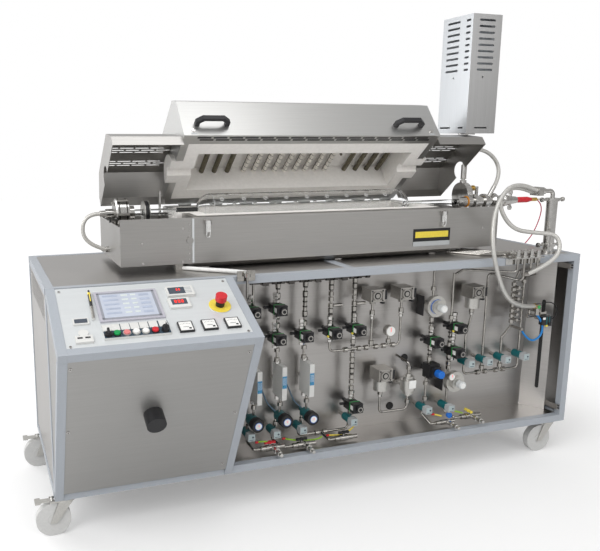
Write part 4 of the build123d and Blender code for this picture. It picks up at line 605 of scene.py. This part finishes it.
rings = []
bores = []
plugs = []
covers = []
for x, height in transducer_places:
    covers.append(bay_box(x - 3, 50, 67.6, 1, height, 36))
    rings.append(rod_shape(in_bay(x - 4, 66.6, height), 19, 3, (0, 1, 0), 40))
    bores.append(rod_shape(in_bay(x - 4, 64.9, height), 14, 1.4, (0, 1, 0), 40))
    rings.append(rod_shape(in_bay(x - 4, 64, height), 9, 1.6, (0, 1, 0), 40))
    for dx in (-27, 21):
        for dz in (-20, 20):
            bores.append(rod_shape(in_bay(x + dx, 67.4, height + dz), 3.4, 1.6, (0, 1, 0), 12))
    plugs.append(bay_box(x + 36, 10, 80, 26, height + 2, 38))
    plugs.append(bay_box(x + 30, 12, 84, 18, height - 26, 22))
piece("transducer_covers", covers, dark_cast, "base")
piece("transducer_rings", rings, cast_grey, "base")
piece("transducer_bores", bores, rubber, "base")
piece("transducer_plugs", plugs, black, "base")
piece("panel_grommets", [rod_shape(in_bay(x, 170.6, height), 17, 2.4, (0, 1, 0), 32)
                         for x, height in ((1527, 324), (1465, 110))], rubber, "base")
piece("valve_plates", [plain_box(1573, 1577, 120, 170, frame_bottom + 520, frame_bottom + 606),
                       plain_box(1694, 1698, 120, 170, frame_bottom + 170, frame_bottom + 258)],
      black, "base")

# Dials on the knurled grips and the other turning knobs
for label, (x, height) in zip(("left", "middle", "right"), knurled_places):
    body = label + "_regulator"
    piece(label + "_dial", [rod_shape(in_bay(x, 47.3, height), 13.5, 1.6, (0, 1, 0), 40)],
          white_plastic, body)
    piece(label + "_dial_rim", [rod_shape(in_bay(x, 47.7, height), 15.5, 1.8, (0, 1, 0), 40)],
          blue, body)
    piece(label + "_dial_mark", [bay_box(x + 1, 1.4, 46.2, 0.8, height + 2, 8)],
          digits, body)
for body, (x, height) in zip(("upper_dome", "lower_dome"), dome_places):
    piece(body + "_cap", [rod_shape(in_bay(x, 37.6, height), 11, 1.6, (0, 1, 0), 32)],
          white_plastic, body)

dial_faces = [rod_shape(in_bay(1402, 91.4, 475), 20, 1, (0, 1, 0), 40),
              rod_shape(in_bay(1696, 56.4, 253), 14, 1, (0, 1, 0), 40)]
piece("gauge_faces", dial_faces, white_plastic, "base")
piece("gauge_pointers", [bay_box(1402, 1.6, 90.5, 1, 481, 18), bay_box(1697, 1.4, 55.5, 1, 258, 12)],
      digits, "base")
piece("filter_label", [bay_box(1511, 34, 76, 1, 234, 36)], white_plastic, "base")
piece("blue_ring", [rod_shape(in_bay(1622, 90, 563), 31, 4, (0, 1, 0), 48)], blue, "base")
piece("lever_ring", [rod_shape(in_bay(1700, 66, 76), 13, 10, (0, 1, 0), 24)], blue, "base")


def wire(name, points, radius, material, body):
    """A short fixed wire through points in frame metres, as a smooth curve."""
    data = bpy.data.curves.new(name, "CURVE")
    data.dimensions = "3D"
    data.bevel_depth = 1.0
    data.bevel_resolution = 3
    data.use_fill_caps = True
    spline = data.splines.new("NURBS")
    spline.points.add(len(points) - 1)
    for node_point, where in zip(spline.points, points):
        node_point.co = (*where, 1)
        node_point.radius = radius / 1000
    spline.order_u = 3
    spline.use_endpoint_u = True
    spline.resolution_u = 10
    data.materials.append(material)
    thing = add(name, data)
    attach(thing, body)
    return thing


# Free hoses. The control points are the corners of the routes in the solid model.


def hose(name, material, points, radius):
    """Replace a hose's plain solid by a smooth curve. Heights count from the cabinet's underside."""
    where = [in_bay(*p) for p in points]
    thing = wire(name + "_curve", where, radius, material, "base")
    thing.data.bevel_resolution = 8
    thing.data.splines[0].resolution_u = 24
    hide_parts(name)


hose("hose_a", braid,
     [(2080, 72, 1043), (1965, 72, 1092), (1830, 28, 1000), (1768, -40, 830), (1850, -38, 620),
      (1985, 5, 552), (2092, 40, 541)], 9)
hose("hose_b", braid,
     [(2080, 98, 1034), (1970, 88, 1075), (1862, 60, 1005), (1935, 45, 885), (2060, 30, 867), (2142, 2, 862),
      (2150, -20, 795), (2085, -30, 742), (1988, -16, 701)], 9)
hose("tower_hose", braid,
     [(2025, 450, 1214), (2112, 440, 1214), (2186, 418, 1107), (2128, 400, 1037)], 9)
hose("purge_hose", braid,
     [(257, 400, 972), (190, 400, 972), (188, 402, 855), (278, 405, 830)], 8)
hose("supply_hose", ptfe,
     [(532, 189, 778), (600, 128, 778), (690, 62, 779), (715, -8, 784)], 7.5)
hose("blue_hose", blue_tube,
     [(2108, 40, 501), (2150, 41, 462), (2150, 46, 395), (2085, 46, 374), (2038, 42, 430)],
     4.5)
hose("sensor_cable", copper_red,
     [(2385, 400, 972), (2425, 400, 950), (2418, 400, 872), (2360, 400, 762), (2277, 400, 712)],
     2.5)

# Fixed wires and cables inside the bay, each with its places along X and up, and its depth
bay_wires = [("earth_wire_1", lime, [(795, 83), (815, 86), (838, 78)], 60),
             ("earth_wire_2", lime,
              [(916, 77), (945, 67), (985, 59), (1040, 53), (1072, 54), (1086, 62)], 72),
             ("earth_wire_3", yellow,
              [(1118, 59), (1153, 54), (1182, 54), (1205, 62), (1226, 70), (1238, 85)], 80),
             ("earth_wire_4", yellow, [(1614, 93), (1631, 88), (1655, 80)], 60),
             ("earth_wire_5", lime, [(1717, 93), (1738, 91), (1764, 79)], 60),
             ("controller_cable_1", slate, [(817, 318), (824, 288), (838, 252), (856, 215), (884, 190)], 96),
             ("controller_cable_2", slate, [(922, 318), (940, 283), (953, 251), (970, 214), (1000, 190)], 96)]
lugs = []
for name, material, line, y in bay_wires:
    wire(name, [in_bay(x, y, height) for x, height in line], 3.2, material, "base")
    if material is not slate:
        lugs.append(rod_shape(in_bay(line[0][0] - 3, y, line[0][1]), 4.5, 12, (1, 0, 0), 16))
piece("earth_lugs", lugs, red, "base")

# Windings of the pale heater rods, and dark straight lines along both sides of each rod as painted shade at
# its outline

rods_y = tube_y + 5
rod_z = 1225
rod_length = 241.4
bare_end = 6
turn_pitch = 23.0
turn_radius = 11.5
winding_wire = 1.1
outline_shade_radius = 1.3
outline_shade_length = 229


def winding(x):
    """The wire wound round one heater rod, as one unbroken curve."""
    half = rod_length / 2 - bare_end
    turns = int(2 * half / turn_pitch)
    points = []
    for step in range(turns * 8 + 1):
        angle = 2 * math.pi * step / 8
        along = -half + 2 * half * step / (turns * 8)
        points.append(place(*opened(x + turn_radius * math.cos(angle), rods_y + along,
                                    rod_z + turn_radius * math.sin(angle))))
    return points


for number, x in enumerate(wound):
    wire("winding_%d" % (number + 1), winding(x), winding_wire, wire_metal, "lid")
lid_back = lid_axes @ Vector((0, 1, 0))
lid_up = lid_axes @ Vector((0, 0, 1))
# Painted shade: two dark lines along each wound rod's sides stand for its darker outline
outline_shades = [rod_shape(place(*opened(x + side * turn_radius, rods_y, rod_z)), outline_shade_radius, outline_shade_length, lid_back, 8)
         for x in wound for side in (-1, 1)]
piece("winding_leads", outline_shades, wire_metal, "lid")

# Sensor tips in the chamber's roof, between the groups of heaters
tips = [(703, 380), (703, 430), (901, 405), (1393, 380), (1393, 430)]
piece("chamber_sensors", [rod_shape(place(*opened(x, y, parting + 112)), 5, 12, lid_up, 16) for x, y in tips],
      dark_heater, "lid")

# Painted shade: black boxes fill the slots in the lid's lip
slots = []
slot_count = 16
slot_pitch = 66
slot_half = 28
for row, shift in ((14, 0), (27, 12)):
    for number in range(slot_count):
        middle = (furnace_left + furnace_right) / 2 + shift + slot_pitch * (number - (slot_count - 1) / 2)
        slots.append(lid_box(middle - slot_half, middle + slot_half, furnace_front + row - 4.4,
                             furnace_front + row + 4.4, parting - 0.25, parting + 1.6))
piece("lip_slot_shade", slots, black, "lid")

# Painted shadow: a dark sheet in the gap behind the slots of the lid's lip; then the cam locks on the lid
# with their labels
piece("lip_shadow", [lid_box(furnace_left + 6, furnace_right - 6, 177, 205, parting + 3, parting + 5)],
      rubber, "lid")
lock_places = (612, 1690)
lid_front = Vector((0, -math.cos(lid_angle), math.sin(lid_angle)))
piece("lid_locks", [rod_shape(place(*opened(x, 168.5, parting + 24)), 8, 5, lid_front) for x in lock_places],
      steel_bright, "lid")
piece("lid_labels", [lid_box(x - 12, x + 12, 169.2, 170, parting + 6, parting + 12) for x in lock_places],
      grey_plastic, "lid")

# Rivets on the end boxes and the strip over the joint between case and left box
box_rivets = [(371, 1036), (373, 961), (528, 1086), (527, 960), (1888, 1035)]
piece("box_rivets", [rod_shape(place(x, furnace_front - 1.2, z), 4.5, 2.4, (0, 1, 0), 20)
                     for x, z in box_rivets], steel_bright, "base")
piece("edge_rivets", [rod_shape(place(552, furnace_front - 1, 968 + 22 * n), 2.6, 2, (0, 1, 0), 12)
                      for n in range(7)], steel_bright, "base")
piece("joint_strip", [plain_box(564, 572, furnace_front - 2.6, furnace_front - 2, 955, 1122)],
      console_steel_lit, "base")

# Bolts and bands of the left rotary union, the sleeve on the tube's neck, a seal and a grommet
bolts = []
for number in range(6):
    angle = math.pi * number / 3
    for x, circle, radius, length in ((342, 59, 5, 44), (311, 44, 6, 8)):
        centre = place(x, tube_y + circle * math.cos(angle), parting + circle * math.sin(angle))
        bolts.append(rod_shape(centre, radius, length, (1, 0, 0), 6))
piece("union_bolts", bolts, cast_grey, "base")
piece("union_bands", [rod_shape(place(x, tube_y, parting), 58.6, 5, (1, 0, 0), 64) for x in (326, 356)],
      dark_pipe, "base")
piece("neck_sleeve", [rod_shape(place(612, tube_y, parting), 14.4, 84, (1, 0, 0), 40)], rubber, "tube")
piece("tube_seal", [rod_shape(place(1974, tube_y, parting), 26, 4, (1, 0, 0), 48)], orange, "base")
piece("end_grommet", [rod_shape(place(289, 364, 1103), 9, 3, (1, 0, 0), 24)], rubber, "base")

# Wire bails of the two latches
for side, x in (("left", 625), ("right", 1682)):
    bail = [place(x - 7, furnace_front - 14, 1096), place(x - 7, furnace_front - 15, 1060),
            place(x - 7, furnace_front - 8, 1050), place(x + 7, furnace_front - 8, 1050),
            place(x + 7, furnace_front - 15, 1060), place(x + 7, furnace_front - 14, 1096)]
    wire(side + "_latch_wire", bail, 2.0, latch_metal, side + "_latch")

# Couplings of the gas inlets, which point to the front over the rail
inlet_places = [(864, 52), (1003, 46), (1688, 50), (1812, 62)]
inlet_steps = [(58, 46, 13, 6), (46, 30, 10, 24), (30, 20, 13, 6), (20, 4, 9, 24), (4, -6, 11, 6),
               (-6, -22, 7, 24)]
inlets = []
for x, height in inlet_places:
    for back, front, radius, sides in inlet_steps:
        middle = in_bay(x, (back + front) / 2, height)
        inlets.append(rod_shape(middle, radius, back - front, (0, 1, 0), sides))
piece("inlet_couplings", inlets, steel_bright, "base")

# Painted shade: a black sheet behind the slot of the slanted plate, for the shaded inside of the cabinet
along = Vector((66, -91.7, 0)).normalized()
behind = Vector((91.7, 66, 0)).normalized()
slot_middle = in_bay(2172, 172, 335) + (along * 72 + behind * 3.2) / 1000
slot_axes = Matrix((along, behind, Vector((0, 0, 1)))).transposed()
piece("slot_shade_sheet", [box_shape(slot_middle, (22, 1, 428), slot_axes)], rubber, "base")

# Black bolts on the slanted plate's brackets
piece("bracket_bolts", [rod_shape(in_bay(2243, 3, height + step), 4.5, 5, (0, 1, 0), 6)
                        for height in (67, 715) for step in (-5, 6)], black, "base")

# Painted highlights: bright rings round the dimples of the quartz tube and at its domes

def rims(name, circles, thickness, material, body):
    """Thin closed rings, each given by its middle, its direction and its radius in millimetres."""
    data = bpy.data.curves.new(name, "CURVE")
    data.dimensions = "3D"
    data.bevel_depth = 1.0
    data.bevel_resolution = 2
    for middle, direction, radius in circles:
        turn = direction.normalized().to_track_quat("Z", "Y").to_matrix()
        spline = data.splines.new("NURBS")
        spline.points.add(11)
        for number, node_point in enumerate(spline.points):
            angle = math.pi * number / 6
            out = turn @ Vector((math.cos(angle), math.sin(angle), 0)) * radius / 1000
            node_point.co = (*(middle + out), 1)
            node_point.radius = thickness / 1000
        spline.order_u = 3
        spline.use_cyclic_u = True
        spline.resolution_u = 4
    data.materials.append(material)
    thing = add(name, data)
    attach(thing, body)


highlight_ring_thickness = 0.7
dimple_rows = 6
dimples_in_row = 9
dimple_pitch = 95
dimple_radius = 8.5
dimple_reach = 67.8
dimples = []
for row in range(dimple_rows):
    angle = math.radians(360 / dimple_rows * row + 15)
    out = Vector((0, math.cos(angle), math.sin(angle)))
    for number in range(dimples_in_row):
        x = (furnace_left + furnace_right) / 2 + dimple_pitch * (number - 4 + 0.5 * (row % 2) - 0.25)
        dimples.append((place(x, tube_y, parting) + out * dimple_reach / 1000, out, dimple_radius))
rims("dimple_highlights", dimples, highlight_ring_thickness, quartz_highlight, "tube")
domes = [(place(x, tube_y, parting), right, 68.2) for x in (712, 1588)]
rims("dome_highlights", domes, highlight_ring_thickness, quartz_highlight, "tube")

# Small solenoid and its lead beside the slot, and the end of the braided hose there
piece("slot_solenoid", [bay_box(2160, 52, 41, 22, 471, 38), bay_box(2176, 16, 40, 26, 455, 16)],
      black, "base")
piece("slot_stripes", [bay_box(2158, 4, 29.4, 1, 471, 36), bay_box(2172, 3, 29.4, 1, 471, 36)],
      teal, "base")
piece("slot_tag", [bay_box(2143, 14, 29.4, 1, 482, 10)], white_plastic, "base")
piece("slot_dot", [rod_shape(in_bay(2160, 34, 448), 5, 10, (0, 1, 0), 20)], yellow, "base")
wire("slot_lead", [in_bay(2128, 36, 552), in_bay(2166, 30, 562), in_bay(2206, 24, 530), in_bay(2202, 28, 482),
                   in_bay(2184, 40, 470)], 2.2, rubber, "base")
piece("hose_end_collar", [rod_shape(in_bay(2096, 40, 541), 13, 12, (1, 0, 0), 6)], brass, "base")
piece("hose_end_tag", [bay_box(2106, 12, 27, 1.6, 538, 14)], leaf, "base")

# Floor, light and camera

def seen_directly(tree):
    """One for what the camera sees, also through glass, and zero for light and reflections."""
    path = tree.nodes.new("ShaderNodeLightPath")
    through = tree.nodes.new("ShaderNodeMath")
    through.operation = "MAXIMUM"
    link(tree, path, "Is Camera Ray", through, 0)
    link(tree, path, "Is Transmission Ray", through, 1)
    return through


def sky():
    """White where the camera looks past the object, a soft grey gradient as a light."""
    world = bpy.data.worlds.new("studio")
    bpy.context.scene.world = world
    world.use_nodes = True
    tree = world.node_tree
    tree.nodes.clear()
    out = tree.nodes.new("ShaderNodeOutputWorld")
    mix = tree.nodes.new("ShaderNodeMixShader")
    soft = tree.nodes.new("ShaderNodeBackground")
    white = tree.nodes.new("ShaderNodeBackground")
    white.inputs["Color"].default_value = (1, 1, 1, 1)
    white.inputs["Strength"].default_value = 1.0
    soft.inputs["Strength"].default_value = 0.85
    coords = tree.nodes.new("ShaderNodeTexCoord")
    # Brightness grows towards the upper left of the room
    direction = tree.nodes.new("ShaderNodeVectorMath")
    direction.operation = "DOT_PRODUCT"
    direction.inputs[1].default_value = (-0.82, 0.15, 0.3)
    link(tree, coords, "Generated", direction, 0)
    lift = tree.nodes.new("ShaderNodeMath")
    lift.operation = "MULTIPLY_ADD"
    lift.inputs[1].default_value = 0.5
    lift.inputs[2].default_value = 0.5
    link(tree, direction, "Value", lift, 0)
    ramp = tree.nodes.new("ShaderNodeValToRGB")
    ramp.color_ramp.elements[0].position = 0.15
    ramp.color_ramp.elements[0].color = (0.42, 0.41, 0.4, 1)
    ramp.color_ramp.elements[1].position = 0.85
    ramp.color_ramp.elements[1].color = (1, 1, 1, 1)
    link(tree, lift, "Value", ramp, "Fac")
    link(tree, ramp, "Color", soft, "Color")
    link(tree, seen_directly(tree), "Value", mix, "Fac")
    link(tree, soft, "Background", mix, 1)
    link(tree, white, "Background", mix, 2)
    link(tree, mix, "Shader", out, "Surface")


def floor():
    """A pale floor that looks white to the camera and keeps the shadow; near the object its glow is weaker, a
    painted shade round the object.
    """
    mesh = bpy.data.meshes.new("floor")
    bm = bmesh.new()
    bmesh.ops.create_grid(bm, x_segments=1, y_segments=1, size=14)
    bm.to_mesh(mesh)
    bm.free()
    thing = add("floor", mesh)
    mat = surface("floor", (0.8, 0.8, 0.8), 0.9, 0.0, 0.005, (4, 4, 4), edge=0)
    tree = mat.node_tree
    out = next(n for n in tree.nodes if n.type == "OUTPUT_MATERIAL")
    shader = next(n for n in tree.nodes if n.type == "BSDF_PRINCIPLED")
    shader.inputs["Specular IOR Level"].default_value = 0.0
    glow = tree.nodes.new("ShaderNodeEmission")
    glow.inputs["Strength"].default_value = 0.52
    coords = tree.nodes.new("ShaderNodeTexCoord")
    mapping = tree.nodes.new("ShaderNodeMapping")
    mapping.inputs["Scale"].default_value = (1 / 7, 1 / 7, 1 / 7)
    link(tree, coords, "Object", mapping, "Vector")
    # Painted shade: the camera-only glow is weaker near the object, so the floor round it looks grey
    near = tree.nodes.new("ShaderNodeTexGradient")
    near.gradient_type = "SPHERICAL"
    link(tree, mapping, "Vector", near, "Vector")
    shade_near_object = tree.nodes.new("ShaderNodeValToRGB")
    shade_near_object.color_ramp.elements[0].position = 0.6
    shade_near_object.color_ramp.elements[0].color = (1, 1, 1, 1)
    shade_near_object.color_ramp.elements[1].position = 0.8
    shade_near_object.color_ramp.elements[1].color = (0.45, 0.45, 0.45, 1)
    link(tree, near, "Fac", shade_near_object, "Fac")
    link(tree, shade_near_object, "Color", glow, "Color")
    off = tree.nodes.new("ShaderNodeEmission")
    off.inputs["Strength"].default_value = 0.0
    both = tree.nodes.new("ShaderNodeAddShader")
    pick = tree.nodes.new("ShaderNodeMixShader")
    link(tree, seen_directly(tree), "Value", pick, "Fac")
    link(tree, off, "Emission", pick, 1)
    link(tree, glow, "Emission", pick, 2)
    link(tree, shader, "BSDF", both, 0)
    link(tree, pick, "Shader", both, 1)
    link(tree, both, "Shader", out, "Surface")
    mesh.materials.append(mat)


def lamp(name, where, aim, size, power):
    """A large soft lamp that points at a place."""
    data = bpy.data.lights.new(name, "AREA")
    data.shape = "RECTANGLE"
    data.size = size[0]
    data.size_y = size[1]
    data.energy = power
    thing = add(name, data)
    thing.location = where
    thing.rotation_euler = (Vector(aim) - Vector(where)).to_track_quat("-Z", "Y").to_euler()


def camera():
    """The photograph's view."""
    data = bpy.data.cameras.new("camera")
    data.sensor_width = 36
    data.sensor_fit = "HORIZONTAL"
    data.lens = 42.705
    data.shift_x = 0.1312
    data.shift_y = 0.0036
    thing = bpy.data.objects.new("camera", data)
    thing.location = place(-207.03, -2380.34, 1423.8)
    yaw = math.radians(19.19)
    pitch = math.radians(11.21)
    look = Vector((math.sin(yaw) * math.cos(pitch), math.cos(yaw) * math.cos(pitch), -math.sin(pitch)))
    thing.rotation_mode = "QUATERNION"
    turn = look.to_track_quat("-Z", "Y")
    roll = Matrix.Rotation(math.radians(0.09), 3, "Z").to_quaternion()
    thing.rotation_quaternion = turn @ roll
    bpy.context.scene.collection.objects.link(thing)
    bpy.context.scene.camera = thing


sky()
floor()
lamp("key", (-3.4, -2.2, 3.4), (0, 0, 0.9), (2.6, 2.6), 80)
lamp("front", (2.4, -4.4, 2.6), (0.1, 0, 0.9), (3.0, 2.2), 34)
lamp("above", (-0.1, -1.0, 4.2), (-0.2, 0.1, 1.3), (2.0, 1.8), 22)
lamp("back_left", (-4.2, 3.4, 1.8), (-0.6, 0, 0.9), (2.4, 2.4), 65)
camera()
bpy.context.scene.view_settings.view_transform = "Standard"
